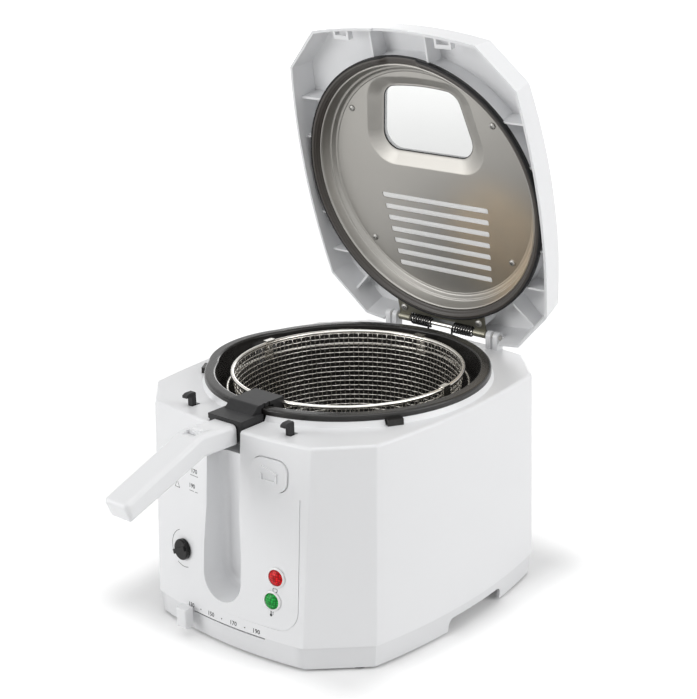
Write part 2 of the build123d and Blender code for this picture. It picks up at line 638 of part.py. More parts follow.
def make_open_button():
    place = Pos(BUTTON_X, BUTTON_Z)
    cap = front_plate(place * RectangleRounded(BUTTON_W, BUTTON_H, BUTTON_R), BUTTON_PROUD, WALL + 0.9)
    flange_outline = RectangleRounded(BUTTON_W + 4, BUTTON_H + 4, BUTTON_R + 2)
    flange = front_plate(place * flange_outline, -WALL - 0.4, WALL + 1.9)
    stem_front = wall_y(BUTTON_X, BUTTON_Z) + WALL + 1.0
    stem = box(BUTTON_X - 4, BUTTON_X + 4, stem_front, HOOK_Y - GAP, BUTTON_Z - 5, BUTTON_Z + 5)
    return cap + flange + stem


def make_lens(x, z):
    """Lamp lens: a low dome with a stem through the wall."""
    lens_r = LAMP_R - BEZEL_T
    ball_r = (lens_r**2 + LENS_RISE**2) / (2 * LENS_RISE)
    dome = Sphere(ball_r) & Pos(0, 0, ball_r - LENS_RISE) * Cylinder(lens_r, LENS_RISE, align=MIN_Z)
    dome = Pos(0, 0, LENS_RISE - ball_r + 0.2) * dome
    stem = Pos(0, 0, -7) * Cylinder(lens_r, 7.3, align=MIN_Z)
    return on_wall(x, z) * (dome + stem)


def make_bezel(x, z):
    lens_r = LAMP_R - BEZEL_T
    ring = turned([(lens_r, -WALL - 0.5), (LAMP_R, -WALL - 0.5), (LAMP_R, 0.2), (LAMP_R + 1, 0.2),
                   (LAMP_R + 1, 0.7), (LAMP_R, 1.2), (lens_r, 1.2)])
    return on_wall(x, z) * ring


def make_lamp_holder(x, z):
    """Cap behind the wall that holds the neon lamp against its lens."""
    cup = Pos(0, 0, -17) * Cylinder(LAMP_R + 1.5, 17 - WALL - 0.6, align=MIN_Z)
    return on_wall(x, z) * (cup - Pos(0, 0, -7 - GAP) * Cylinder(LAMP_R - 0.2, 20, align=MIN_Z))


def make_timer_body():
    """Clockwork timer behind the front wall, with a bore for the knob's shaft."""
    case = Pos(0, 0, -WALL - 0.5 - TIMER_D) * extrude(RectangleRounded(TIMER_W, TIMER_W, 4), amount=TIMER_D)
    case = case - Pos(0, 0, -WALL - 9) * Cylinder(KNOB_SHAFT_R + RUN, 20, align=MIN_Z)
    return on_wall(KNOB_X, KNOB_Z) * case


def make_timer_knob():
    disc = Pos(0, 0, GAP) * Cylinder(KNOB_R, KNOB_H, align=MIN_Z)
    disc = chamfer(disc.edges().sort_by(Axis.Z)[-1], 0.8)
    bar = Pos(0, 0, GAP) * extrude(Rectangle(2 * KNOB_R - 2.5, 3.8), amount=KNOB_H + 1.8)
    bar = bar + Pos(KNOB_R - 0.8, 0, GAP) * extrude(RegularPolygon(2.0, 3), amount=KNOB_H - 1)
    shaft = Pos(0, 0, -WALL - 9 + GAP) * Cylinder(KNOB_SHAFT_R, WALL + 9, align=MIN_Z)
    return on_wall(KNOB_X, KNOB_Z) * Rotation(0, 0, KNOB_POINT) * (disc + bar + shaft)


def make_temperature_slider():
    block = box(SLIDER_X - SLIDER_W / 2, SLIDER_X + SLIDER_W / 2, SLIDER_Y, SLIDER_Y + SLIDER_D,
                SLIDER_BOTTOM, SLIDER_TOP)
    block = fillet(block.edges().group_by(Axis.Y)[0], 1.6)
    slot_low, slot_high = SKIRT_TOP - SLOT_DROP + GAP, SKIRT_TOP - GAP
    neck = box(SLIDER_X - 3, SLIDER_X + 3, SLIDER_Y + SLIDER_D - 1, SLIDER_PIN_Y + 3, slot_low, slot_high)
    carriage = box(SLIDER_X - CARRIAGE_HALF, SLIDER_X + CARRIAGE_HALF, SLIDER_PIN_Y - 2.2, SLIDER_PIN_Y + 4,
                   slot_low, SKIRT_TOP + 2)
    reach = LEVER_Z + 4 - SKIRT_TOP
    pin = Pos(SLIDER_X, SLIDER_PIN_Y, SKIRT_TOP) * Cylinder(SLIDER_PIN_R, reach, align=MIN_Z)
    return block + neck + carriage + pin


# ---------------------------------------------------------------- latch
def make_latch_yoke():
    """Two hooks on one cross bar, pushed back by the opening button."""
    top, y = HOOK_TOP, HOOK_Y
    nose_low = LID_RIM_Z + KEEPER_T + 0.4
    bar_back = YOKE_Y + YOKE_D
    hook = [(bar_back, YOKE_Z), (bar_back, YOKE_Z + YOKE_H), (y + HOOK_D, YOKE_Z + 3 * YOKE_H),
            (y + HOOK_D, top - 1), (y + HOOK_D - 1, top), (y - HOOK_NOSE / 2, top),
            (y - HOOK_NOSE, top - 1.2), (y - HOOK_NOSE, nose_low), (y, nose_low), (y, YOKE_Z)]
    hooks = [Pos(side * HOOK_X, 0, 0) * from_side(hook, HOOK_W / 2) for side in (-1, 1)]
    reach = HOOK_X + HOOK_W / 2
    bar = box(-reach, reach, YOKE_Y, bar_back, YOKE_Z, YOKE_Z + YOKE_H)
    pad = box(BUTTON_X - 6, HOOK_X, HOOK_Y, HOOK_Y + 3, BUTTON_Z - 7, BUTTON_Z + 7)
    rib = box(BUTTON_X - 2, HOOK_X, HOOK_Y + 1, bar_back, YOKE_Z, BUTTON_Z)
    return bar + hooks[0] + hooks[1] + pad + rib


def make_latch_spring():
    """Return spring between the yoke and the heat shield, as a plain sleeve."""
    front, back = YOKE_Y + YOKE_D, -SHIELD_R - SHEET - 0.2
    spring = Cylinder(3.5, back - front) - Cylinder(2.5, 20)
    return Pos(0, (front + back) / 2, YOKE_Z + YOKE_H / 2) * Rotation(90, 0, 0) * spring


# ---------------------------------------------------------------- basket and handle
def make_basket_mesh():
    """The woven cup as a plain closed wall."""
    top, low = BASKET_TOP - RIM_WIRE / 2 - 0.1, BASKET_TOP - BASKET_H
    section = sheet_section([(BASKET_R, top), (BASKET_BASE_R, low + 10), (BASKET_BASE_R - 8, low),
                             (0.0, low)],
                            -BASKET_WALL)
    return turned(section)


def make_basket_rim():
    return Pos(0, 0, BASKET_TOP) * Torus(BASKET_R, RIM_WIRE / 2)


def make_basket_hoop():
    return Pos(0, 0, HOOP_Z) * Torus(HOOP_R, HOOP_WIRE / 2)


def make_basket_clips():
    """Bent tabs that hook over the rim wire and down to the hoop."""
    low = HOOP_Z - 2
    inner = BASKET_R + RIM_WIRE / 2 + 0.1
    over = BASKET_TOP + RIM_WIRE / 2 + 0.1
    strip = box(inner, inner + 1, -CLIP_W / 2, CLIP_W / 2, low, over + 1)
    strip = strip + box(BASKET_R - 2, inner + 1, -CLIP_W / 2, CLIP_W / 2, over, over + 1)
    return [Rotation(0, 0, angle) * strip for angle in (4, 90, 176)]


def make_saddle():
    low = SADDLE_TOP - SADDLE_LEG
    slot_front, slot_back = -RIM_R - 0.5, -POT_R + 2.5
    cheek_low = PIVOT_Z - KNUCKLE_R
    block = from_side([(SADDLE_BACK_Y, low), (SADDLE_BACK_Y, SADDLE_TOP), (SADDLE_RIDGE_Y, SADDLE_TOP),
                       (FLANGE_BACK_Y, FLANGE_TOP), (FLANGE_BACK_Y, low)], SADDLE_HALF)
    ridge = block.edges().filter_by(Axis.X).sort_by_distance((0, SADDLE_RIDGE_Y, SADDLE_TOP))[0]
    block = fillet(ridge, SADDLE_ROUND)
    block = fillet(block.edges().group_by(Axis.Z)[-1].filter_by(Axis.X).sort_by(Axis.Y)[-1], 1.0)
    flange = box(-FLANGE_HALF, FLANGE_HALF, FLANGE_Y, FLANGE_BACK_Y + 6, FLANGE_TOP - FLANGE_T, FLANGE_TOP)
    leg = box(-CHEEK_HALF, CHEEK_HALF, PIVOT_Y - KNUCKLE_R, slot_front, cheek_low, FLANGE_TOP - 1)
    front_low = leg.edges().filter_by(Axis.X).group_by(Axis.Z)[0].sort_by(Axis.Y)[0]
    leg = fillet(front_low, KNUCKLE_R - 0.1)
    saddle = block + flange + leg
    saddle = saddle - box(-20, 20, slot_front, slot_back, cheek_low - 1, RIM_TOP + GAP)
    # hollow between the cheeks for the handle's tongue
    saddle = saddle - box(-CHEEK_IN, CHEEK_IN, FLANGE_Y - 1, PIVOT_Y + KNUCKLE_R + 1, cheek_low - 1,
                          FLANGE_TOP - FLANGE_T)
    saddle = saddle - rod_x(PIN_R, -CHEEK_HALF - 1, CHEEK_HALF + 1, PIVOT_Y, PIVOT_Z)
    # the rear edge only hooks over the rim wire; the tongue below grips the hoop
    saddle = saddle - Pos(0, 0, low - 1) * Cylinder(BASKET_R + GAP, BASKET_TOP - low + 1, align=MIN_Z)
    tongue = box(-HOOP_TONGUE_HALF, HOOP_TONGUE_HALF, -HOOP_R - 3.4, -HOOP_R + 3.4, HOOP_Z - 4, low + 1)
    saddle = saddle + tongue
    saddle = saddle - make_basket_hoop()
    saddle = saddle - Pos(0, 0, BASKET_TOP) * Torus(BASKET_R, RIM_WIRE / 2 + 0.15)
    # grooves down the sides of the block, behind the ridge
    for y in (SADDLE_RIDGE_Y + 6, SADDLE_RIDGE_Y + 11):
        for side in (-1, 1):
            saddle = saddle - Pos(side * SADDLE_HALF, y, SADDLE_TOP) * Box(1.6, 2.4, 2 * SADDLE_LEG)
    return saddle


def handle_profile(low_share, high_share):
    """Outline of a layer of the handle between two shares of its height."""
    def between(share):
        return [(u[0] + (t[0] - u[0]) * share, u[1] + (t[1] - u[1]) * share)
                for t, u in zip(HANDLE_TOP, HANDLE_UNDER)]
    return between(high_share) + between(low_share)[::-1]


def make_handle_solid():
    """The whole handle without its shells being split."""
    shift = SHOULDER_Y - HANDLE_TOP[0][0]
    body = Pos(0, shift, 0) * from_side(handle_profile(0, 1), HANDLE_HALF)
    body = fillet(body.edges().filter_by(Axis.X).group_by(Axis.Y)[0], 4)
    long_edges = [e for e in body.edges() if abs(abs(e.center().X) - HANDLE_HALF) < 0.01
                  and e.center().Y < SHOULDER_Y - 1]
    return fillet(long_edges, HANDLE_EDGE_R)


def catch_pocket(length_extra, width_extra, depth):
    """Box sunk into the handle's top around the release catch."""
    slope = degrees(atan2(HANDLE_TOP[1][1] - HANDLE_TOP[0][1], HANDLE_TOP[0][0] - HANDLE_TOP[1][0]))
    share = (HANDLE_TOP[0][0] - CATCH_Y) / (HANDLE_TOP[0][0] - HANDLE_TOP[1][0])
    top = HANDLE_TOP[0][1] + share * (HANDLE_TOP[1][1] - HANDLE_TOP[0][1])
    frame = Location((0, CATCH_Y, top)) * Rotation(-slope, 0, 0)
    return frame, frame * Pos(0, -length_extra / 2, -depth) * Box(
        CATCH_W + width_extra, CATCH_L + length_extra, depth + 5, align=MIN_Z)


def make_handle_shells():
    whole = make_handle_solid()
    shift = SHOULDER_Y - HANDLE_TOP[0][0]
    lower_side = Pos(0, shift, 0) * from_side(handle_profile(-0.5, HANDLE_SEAM), HANDLE_HALF + 5)
    lower = whole & lower_side
    upper = whole - lower_side
    frame, pocket = catch_pocket(CATCH_TRAVEL + 1, 0.6, CATCH_T + GAP)
    upper = upper - pocket
    tongue = box(-TONGUE_HALF, TONGUE_HALF, SHOULDER_Y - 6, PIVOT_Y, PIVOT_Z - KNUCKLE_R + 0.2,
                 PIVOT_Z + KNUCKLE_R - 0.2)
    tongue = tongue + rod_x(KNUCKLE_R - 0.2, -TONGUE_HALF, TONGUE_HALF, PIVOT_Y, PIVOT_Z)
    upper = upper - box(-TONGUE_HALF, TONGUE_HALF, SHOULDER_Y - 6, SHOULDER_Y + 1, PIVOT_Z - 15,
                        PIVOT_Z + KNUCKLE_R - 0.2)
    lower = lower + tongue - rod_x(PIN_R + RUN, -20, 20, PIVOT_Y, PIVOT_Z)
    return upper, lower


def make_handle_catch():
    """Sliding catch on top of the handle, with a raised thumb ridge."""
    frame, _ = catch_pocket(0, 0, 0)
    plate = Pos(0, 0, -CATCH_T) * Box(CATCH_W, CATCH_L, CATCH_T, align=MIN_Z)
    ridge = Pos(0, -CATCH_L / 2 + 2.5, -0.5) * Box(CATCH_W - 2, 3.0, 2.3, align=MIN_Z)
    ridge = fillet(ridge.edges().group_by(Axis.Z)[-1], 0.8)
    return frame * (plate + ridge)


def make_pivot_pin():
    return rod_x(PIN_R, -CHEEK_HALF + 0.5, CHEEK_HALF - 0.5, PIVOT_Y, PIVOT_Z)


# ---------------------------------------------------------------- lid
def crown(offset=0.0):
    """Very large ball whose top is the lid's crown; its poles lie out of the way."""
    radius = CROWN_R + offset
    return Pos(0, 0, LID_TOP_Z - CROWN_R) * Rotation(90, 0, 0) * Sphere(radius)


def lid_block(inset=0.0, z_low=LID_RIM_Z):
    """Solid inside the lid's drafted walls and under its crown."""
    z_high = LID_TOP_Z + 8
    ends = [octagon(DECK_OUTLINE, z, inset + (z - LID_RIM_Z) * LID_DRAFT) for z in (z_low, z_high)]
    return loft(ends, ruled=True) & crown(-inset)


def window_face(shape, corner, grow=0.0):
    """Window outline with a bowed front edge, grown evenly all round."""
    rear, half_rear, half_front, front, bow = shape
    edges = [Line((half_rear, rear), (-half_rear, rear)), Line((-half_rear, rear), (-half_front, front)),
             ThreePointArc((-half_front, front), (0, front - bow), (half_front, front)),
             Line((half_front, front), (half_rear, rear))]
    face = make_face(edges)
    face = fillet(face.vertices(), corner)
    return offset(face, amount=grow) if grow else face


def window_prism(grow, z_low, z_high):
    return Pos(0, 0, z_low) * extrude(window_face(WINDOW, WINDOW_R, grow), amount=z_high - z_low)


def filter_prism(grow, z_low, z_high):
    face = RectangleRounded(FILTER_W + 2 * grow, FILTER_L + 2 * grow, FILTER_R + grow)
    return Pos(0, FILTER_Y, z_low) * extrude(face, amount=z_high - z_low)


def slots(z_low, z_high):
    """The vent slots, each a little shorter than the one in front."""
    pieces = []
    for i in range(SLOT_COUNT):
        face = RectangleRounded(2 * (SLOT_HALF - i * SLOT_SHRINK), SLOT_H, 1.6)
        pieces.append(Pos(0, SLOT_Y + i * SLOT_PITCH, z_low) * extrude(face, amount=z_high - z_low))
    return pieces


def make_lid_shell():
    outer = lid_block()
    top_edges = [e for e in outer.edges() if e.bounding_box().min.Z > LID_RIM_Z + 10]
    outer = fillet(rising_edges(outer) + top_edges, EDGE_R)
    shell = outer - lid_block(LID_WALL, LID_RIM_Z - 1)
    room = outer

    # wall behind the seal, ribs out to the side walls
    top = LID_TOP_Z + 5
    ring = Pos(0, 0, SEAL_TOP + SHEET) * Cylinder(RING_R, top - SEAL_TOP, align=MIN_Z)
    ring = ring - Cylinder(RING_R - LID_WALL, 500)
    ribs = []
    for x in (-FRONT_RIB_X, FRONT_RIB_X):
        ribs.append(box(x - RIB_T / 2, x + RIB_T / 2, -150, -RING_R + 8, RIB_Z, top))
    for y in SIDE_RIBS_Y:
        ribs.append(box(-BODY_W, BODY_W, y - RIB_T / 2, y + RIB_T / 2, RIB_Z, top))
    corner_rib = Rotation(0, 0, 45) * Box(60, RIB_T, top - RIB_Z, align=MIN_Z)
    for rib in both_sides(Pos(84, 97, RIB_Z) * corner_rib):
        ribs.append(rib)
    frame = ring
    core = Cylinder(RING_R - LID_WALL / 2, 1000)
    for rib in ribs:
        frame = frame + (rib - core)
    shell = shell + (frame & room)
    shell = shell - Pos(0, 0, LID_RIM_Z) * Cylinder(SEAL_R + GAP, SEAL_TOP + SHEET - LID_RIM_Z, align=MIN_Z)

    # bosses of the inner lid's screws and of the hinge bracket's
    for x, y in DISC_SCREWS:
        boss = Pos(x, y, DISC_Z + SHEET) * Cylinder(4, 20, align=MIN_Z)
        shell = shell + (boss & room)
    for boss in both_sides(Pos(*HINGE_SCREW, HINGE_Z + BRACKET_T) * Cylinder(4.5, 30, align=MIN_Z)):
        shell = shell + ((boss - Cylinder(RING_R - LID_WALL / 2, 1000)) & room)

    # keepers that the latch hooks catch under
    wall = KEEPER_Y - 8
    for x in (-HOOK_X, HOOK_X):
        half = KEEPER_W / 2
        keeper = box(x - half, x + half, wall, KEEPER_Y + KEEPER_D, LID_RIM_Z, LID_RIM_Z + KEEPER_T)
        keeper = keeper + box(x - half, x - half + 2, wall, KEEPER_Y + KEEPER_D, LID_RIM_Z, LID_RIM_Z + 5)
        keeper = keeper + box(x + half - 2, x + half, wall, KEEPER_Y + KEEPER_D, LID_RIM_Z, LID_RIM_Z + 5)
        keeper = keeper - box(x - half + 2, x + half - 2, wall, KEEPER_Y, LID_RIM_Z - 1, LID_RIM_Z + 6)
        shell = shell + (keeper & room)

    # window frame with its pocket, and the opening under the filter cover
    shell = shell + window_prism(8, GLASS_Z - 0.4, FRAME_TOP)
    shell = shell - window_prism(0.5, GLASS_Z - 5, FRAME_TOP + 5)
    shell = shell - window_prism(GLASS_SEAT + GAP, GLASS_Z - 5, GLASS_Z + GLASS_T)
    shell = shell - filter_prism(0, DISC_Z + SHEET, LID_TOP_Z + 5)

    # notches over the saddle's flange and over the hinge
    reach = FLANGE_HALF + 1.2
    shell = shell - box(-reach, reach, -150, -RING_R - 1, LID_RIM_Z - 1, FLANGE_TOP + 0.5)
    shell = shell - box(-HINGE_NOTCH_HALF, HINGE_NOTCH_HALF, HINGE_Y, 150, LID_RIM_Z - 1, HINGE_NOTCH_TOP)
    for x, y in DISC_SCREWS:
        shell = shell - Pos(x, y, DISC_Z) * Cylinder(1.4, 7, align=MIN_Z)
    for hole in both_sides(Pos(*HINGE_SCREW, HINGE_Z) * Cylinder(1.6, 12, align=MIN_Z)):
        shell = shell - hole
    return shell


def make_inner_lid():
    """Pressed steel lining: stepped edge, flat disc, bevelled window and vent slots."""
    lining = turned(sheet_section([(0.0, DISC_Z), (DISC_R, DISC_Z), (LEDGE_R - LEDGE_W, LEDGE_Z + 0.6),
                                   (LEDGE_R, LEDGE_Z), (SEAL_IN_R - 0.4, SEAL_TOP), (RING_R - 1, SEAL_TOP)],
                                  SHEET))
    lining = lining - Pos(0, 0, DISC_Z - 1) * extrude(window_face(BEVEL, BEVEL_R), amount=5)
    flange = 1.5
    outside = loft([Pos(0, 0, DISC_Z) * window_face(BEVEL, BEVEL_R, SHEET),
                    Pos(0, 0, GLASS_Z) * window_face(WINDOW, WINDOW_R, flange + SHEET)], ruled=True)
    inside = loft([Pos(0, 0, DISC_Z) * window_face(BEVEL, BEVEL_R),
                   Pos(0, 0, GLASS_Z - SHEET) * window_face(WINDOW, WINDOW_R, flange)], ruled=True)
    bevel = outside - inside - window_prism(0, DISC_Z, GLASS_Z + 1)
    lining = lining + bevel
    bend = [e for e in lining.edges() if e.bounding_box().size.X < DISC_R
            and max(abs(e.bounding_box().min.Z - DISC_Z), abs(e.bounding_box().max.Z - DISC_Z)) < 0.01]
    lining = fillet(bend, BEVEL_ROUND)
    for slot in slots(DISC_Z - 1, DISC_Z + 2):
        lining = lining - slot
    for x, y in DISC_SCREWS:
        lining = lining - Pos(x, y, DISC_Z) * Cylinder(1.4, 5)
    return lining


def make_seal():
    """Rubber ring clipped under the lining's rim, arched where the saddle passes."""
    section = [(SEAL_IN_R, SEAL_TOP), (SEAL_IN_R, SEAL_TOP - 0.9), (SEAL_IN_R + 3.2, SEAL_Z + 1.0),
               (SEAL_R - 2.6, SEAL_Z), (SEAL_R - 0.3, SEAL_Z), (SEAL_R, SEAL_Z + 0.4),
               (SEAL_R - 0.5, SEAL_TOP - 1.5),
               (SEAL_R - 2.0, SEAL_TOP)]
    notch = box(-SADDLE_HALF - 1, SADDLE_HALF + 1, -130, -90, SEAL_Z - 1, SADDLE_TOP + 0.5)
    return turned(section) - notch


def make_glass():
    return window_prism(GLASS_SEAT, GLASS_Z, GLASS_Z + GLASS_T)


def make_filter_pad():
    return filter_prism(-1, DISC_Z + SHEET, DISC_Z + SHEET + 3.8)


def make_filter_cover():
    """Lift-off cover over the filter, lying on the crown with a rim down into its opening."""
    top = LID_TOP_Z + 8
    plate = filter_prism(COVER_LAP, LID_TOP_Z - 12, top) & (crown(GAP + COVER_T) - crown(GAP))
    rim = filter_prism(-0.4, DISC_Z + SHEET + 4.3, top) - filter_prism(-2.0, DISC_Z, top + 1)
    cover = plate + (rim & crown(GAP + COVER_T / 2))
    for slot in slots(LID_TOP_Z - 12, top):
        cover = cover - (slot & filter_prism(-COVER_LAP, DISC_Z, top))
    return cover


def make_inner_lid_screws():
    screw = Rotation(180, 0, 0) * pan_screw(2.8, 6)
    return [Pos(x, y, DISC_Z) * screw for x, y in DISC_SCREWS]


# ---------------------------------------------------------------- hinge
def make_hinge_bracket():
    """Plate under the lid's rear edge with a rolled knuckle at each end."""
    reach = KNUCKLE_X + KNUCKLE_L
    clear = HINGE_Y - SPRING_OUT - 0.5
    plate = box(-reach, reach, HINGE_Y - 20, clear, HINGE_Z, HINGE_Z + BRACKET_T)
    plate = plate - Cylinder(SEAL_R + 0.9, 1000)
    for side in (-1, 1):
        low, high = sorted((side * KNUCKLE_X, side * reach))
        plate = plate + box(low, high, clear - 1, HINGE_Y - 1, HINGE_Z + 1.2 - BRACKET_T, HINGE_Z + 1.2)
        plate = plate + rod_x(KNUCKLE_OUT, low, high, HINGE_Y, HINGE_Z)
    plate = plate - rod_x(ROD_R + RUN, -60, 60, HINGE_Y, HINGE_Z)
    for hole in both_sides(Pos(*HINGE_SCREW, HINGE_Z) * Cylinder(1.6, 10)):
        plate = plate - hole
    return plate


def make_hinge_rod():
    reach = POST_XS[1] + POST_HALF + 1
    return rod_x(ROD_R, -reach, reach, HINGE_Y, HINGE_Z)


def make_torsion_spring():
    """Right-hand spring as a sleeve, with a leg down to the deck."""
    sleeve = rod_x(SPRING_OUT, SPRING_X, SPRING_X + SPRING_L, HINGE_Y, HINGE_Z)
    wire = SPRING_OUT - SPRING_IN
    leg = Pos(SPRING_X + wire / 2, HINGE_Y - SPRING_OUT + wire / 2, DECK_Z) * Cylinder(
        wire / 2 - 0.2, HINGE_Z - DECK_Z, align=MIN_Z)
    return sleeve + leg - rod_x(SPRING_IN, 0, 60, HINGE_Y, HINGE_Z)


def make_hinge_screws():
    screw = Rotation(180, 0, 0) * pan_screw(3.2, 9)
    return both_sides(Pos(*HINGE_SCREW, HINGE_Z) * screw)


# ---------------------------------------------------------------- write every sub-part
def build():
    save("housing", make_housing())
    save("base_tray", make_base())
    save("feet", *make_feet())
    save("base_screws", *make_base_screws())
    save("cord_gland", make_cord_gland())
    save("oil_pot", make_pot())
    save("heat_shield", make_heat_shield())
    save("heating_element", make_heating_element())
    save("element_plate", make_element_plate())
    save("thermal_cutout", make_thermal_cutout())
    save("thermostat", make_thermostat())
    save("thermostat_lever", make_thermostat_lever())
    save("terminal_block", make_terminal_block())
    save("open_button", make_open_button())
    save("power_lamp", make_lens(*POWER_LAMP))
    save("temperature_lamp", make_lens(*HEAT_LAMP))
    save("lamp_bezels", make_bezel(*POWER_LAMP), make_bezel(*HEAT_LAMP))
    save("lamp_holders", make_lamp_holder(*POWER_LAMP), make_lamp_holder(*HEAT_LAMP))
    save("timer_body", make_timer_body())
    save("timer_knob", make_timer_knob())
    save("temperature_slider", make_temperature_slider())
    save("latch_yoke", make_latch_yoke())
    save("latch_spring", make_latch_spring())
    save("basket_mesh", make_basket_mesh())
    save("basket_rim", make_basket_rim())
    save("basket_hoop", make_basket_hoop())
    save("basket_clips", *make_basket_clips())
    save("basket_saddle", make_saddle())
    upper, lower = make_handle_shells()
    save("handle_upper", upper)
    save("handle_lower", lower)
    save("handle_catch", make_handle_catch())
    save("handle_pivot_pin", make_pivot_pin())
    save("lid_shell", opened(make_lid_shell()))
    save("inner_lid", opened(make_inner_lid()))
    save("lid_seal", opened(make_seal()))
    save("window_glass", opened(make_glass()))
    save("filter_pad", opened(make_filter_pad()))
    save("filter_cover", opened(make_filter_cover()))
    save("inner_lid_screws", *[opened(screw) for screw in make_inner_lid_screws()])
    save("hinge_bracket", opened(make_hinge_bracket()))
    save("hinge_screws", *[opened(screw) for screw in make_hinge_screws()])
    save("hinge_rod", make_hinge_rod())
    right_spring, left_spring = both_sides(make_torsion_spring())
    save("right_hinge_spring", right_spring)
    save("left_hinge_spring", left_spring)


build()
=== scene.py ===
"""Looks of a domestic deep fryer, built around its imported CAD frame."""

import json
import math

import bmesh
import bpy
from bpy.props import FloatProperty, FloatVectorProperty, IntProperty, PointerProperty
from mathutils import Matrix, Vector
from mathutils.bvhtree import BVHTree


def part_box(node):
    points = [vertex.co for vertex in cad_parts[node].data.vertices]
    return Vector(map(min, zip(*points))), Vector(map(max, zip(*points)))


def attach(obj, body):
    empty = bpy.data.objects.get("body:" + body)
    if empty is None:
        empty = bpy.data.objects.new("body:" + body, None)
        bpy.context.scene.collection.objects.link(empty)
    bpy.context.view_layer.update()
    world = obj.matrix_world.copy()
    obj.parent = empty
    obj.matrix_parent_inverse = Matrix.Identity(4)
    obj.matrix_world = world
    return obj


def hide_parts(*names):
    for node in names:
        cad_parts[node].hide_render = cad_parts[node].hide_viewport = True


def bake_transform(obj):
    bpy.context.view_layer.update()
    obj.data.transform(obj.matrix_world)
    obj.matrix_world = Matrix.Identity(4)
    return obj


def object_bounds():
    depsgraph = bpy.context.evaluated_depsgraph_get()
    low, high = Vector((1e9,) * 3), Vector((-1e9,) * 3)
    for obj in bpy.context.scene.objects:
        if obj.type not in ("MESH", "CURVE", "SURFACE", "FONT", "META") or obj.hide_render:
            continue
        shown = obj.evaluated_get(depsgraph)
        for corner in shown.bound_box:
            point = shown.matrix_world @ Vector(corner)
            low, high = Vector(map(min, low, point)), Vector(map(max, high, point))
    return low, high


bl_info = {
    "name": "Deep fryer",
    "version": (1, 0, 0),
    "blender": (4, 5, 0),
    "location": "View3D > Sidebar > Fryer",
    "description": "Finishes and fine pieces of a deep fryer with a hinged lid and a wire basket",
    "category": "Object",
}

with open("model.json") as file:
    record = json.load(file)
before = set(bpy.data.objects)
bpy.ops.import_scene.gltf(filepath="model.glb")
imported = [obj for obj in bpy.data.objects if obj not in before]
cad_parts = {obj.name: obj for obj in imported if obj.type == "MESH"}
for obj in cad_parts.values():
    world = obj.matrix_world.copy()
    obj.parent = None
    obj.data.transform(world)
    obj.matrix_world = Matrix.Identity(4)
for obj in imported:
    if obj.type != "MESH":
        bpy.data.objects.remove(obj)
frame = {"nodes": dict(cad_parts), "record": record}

NODES = frame["nodes"]
RECORD = frame["record"]
BODY_OF = {node: body for body, nodes in RECORD["behaviour"]["bodies"].items() for node in nodes}
MM = 0.001
CAD_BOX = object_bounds()
SAME_SPOT = 0.002 * MM  # corners closer than this are joined


def middle(node):
    """Middle of a CAD node's box."""
    low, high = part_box(node)
    return (low + high) / 2


AXIS = Vector((0.0, middle("heat_shield").y, 0.0))  # the pot's axis
HINGE = middle("hinge_rod")
LID_OPEN = math.radians(76.5)


def place(x, y, z):
    """A place given in millimetres from the pot's axis and the table."""
    return AXIS + Vector((x, y, z)) * MM


def swung(point, angle=-LID_OPEN):
    """Where a place on the shut lid stands when the lid is open."""
    return HINGE + Matrix.Rotation(angle, 3, "X") @ (point - HINGE)


def shut_places(node):
    """Corners of one of the lid's nodes when the lid is shut."""
    return [swung(vertex.co, LID_OPEN) for vertex in NODES[node].data.vertices]


def shut_heights(node):
    """Lowest and highest place of one of the lid's nodes when the lid is shut."""
    heights = [spot.z for spot in shut_places(node)]
    return min(heights), max(heights)


# ---------------- settings
def colour(name, description, default):
    """Colour setting."""
    return FloatVectorProperty(name=name, description=description, subtype="COLOR", size=3, default=default)


def length(name, description, default, **limits):
    """Length setting, in metres."""
    return FloatProperty(name=name, description=description, unit="LENGTH", default=default, **limits)


class FryerColours(bpy.types.PropertyGroup):
    """Colours of the main finishes."""
    white: colour("White moulding", "Colour of the body, lid and handle", (0.83, 0.835, 0.845))
    black: colour("Black moulding", "Colour of the saddle, hooks and knob", (0.015, 0.015, 0.016))
    coating: colour("Pot coating", "Colour of the non-stick coating", (0.020, 0.019, 0.018))
    steel: colour("Steel sheet", "Colour of the lid's steel lining", (0.335, 0.325, 0.305))
    ink: colour("Print", "Colour of the numbers and lines", (0.035, 0.035, 0.038))


class FryerBasket(bpy.types.PropertyGroup):
    """Sizes of the woven basket."""
    pitch: length("Mesh", "Distance between the woven wires", 0.0041, min=0.002, max=0.012)
    wire: length("Wire", "Thickness of the woven wires", 0.0008, min=0.0004, max=0.002)


class FryerSprings(bpy.types.PropertyGroup):
    """Sizes of the wound springs."""
    hinge_turns: FloatProperty(name="Hinge turns", description="Turns of each hinge spring", default=7.5, min=2.0)
    hinge_wire: length("Hinge wire", "Wire of the hinge springs", 0.0017, min=0.0005)
    latch_turns: FloatProperty(name="Latch turns", description="Turns of the latch spring", default=7.0, min=2.0)
    latch_wire: length("Latch wire", "Wire of the latch spring", 0.0009, min=0.0003)


class FryerPrint(bpy.types.PropertyGroup):
    """Sizes of the printed marks."""
    digit: length("Digits", "Height of the scale's numbers", 0.0033, min=0.002, max=0.008)
    line: length("Lines", "Width of the printed lines", 0.0004, min=0.0002, max=0.001)
    first: IntProperty(name="First number", description="Lowest temperature on the scale", default=130)
    step: IntProperty(name="Step", description="Difference between two numbers on the scale", default=20)


class FryerStage(bpy.types.PropertyGroup):
    """Floor and light."""
    floor: colour("Floor", "Colour of the floor", (0.86, 0.86, 0.86))
    room: FloatProperty(name="Room light", description="Strength of the even light all round", default=0.15,
                        min=0.0)
    lamps: FloatProperty(name="Lamps", description="Multiplies the power of all lamps", default=1.0, min=0.0)


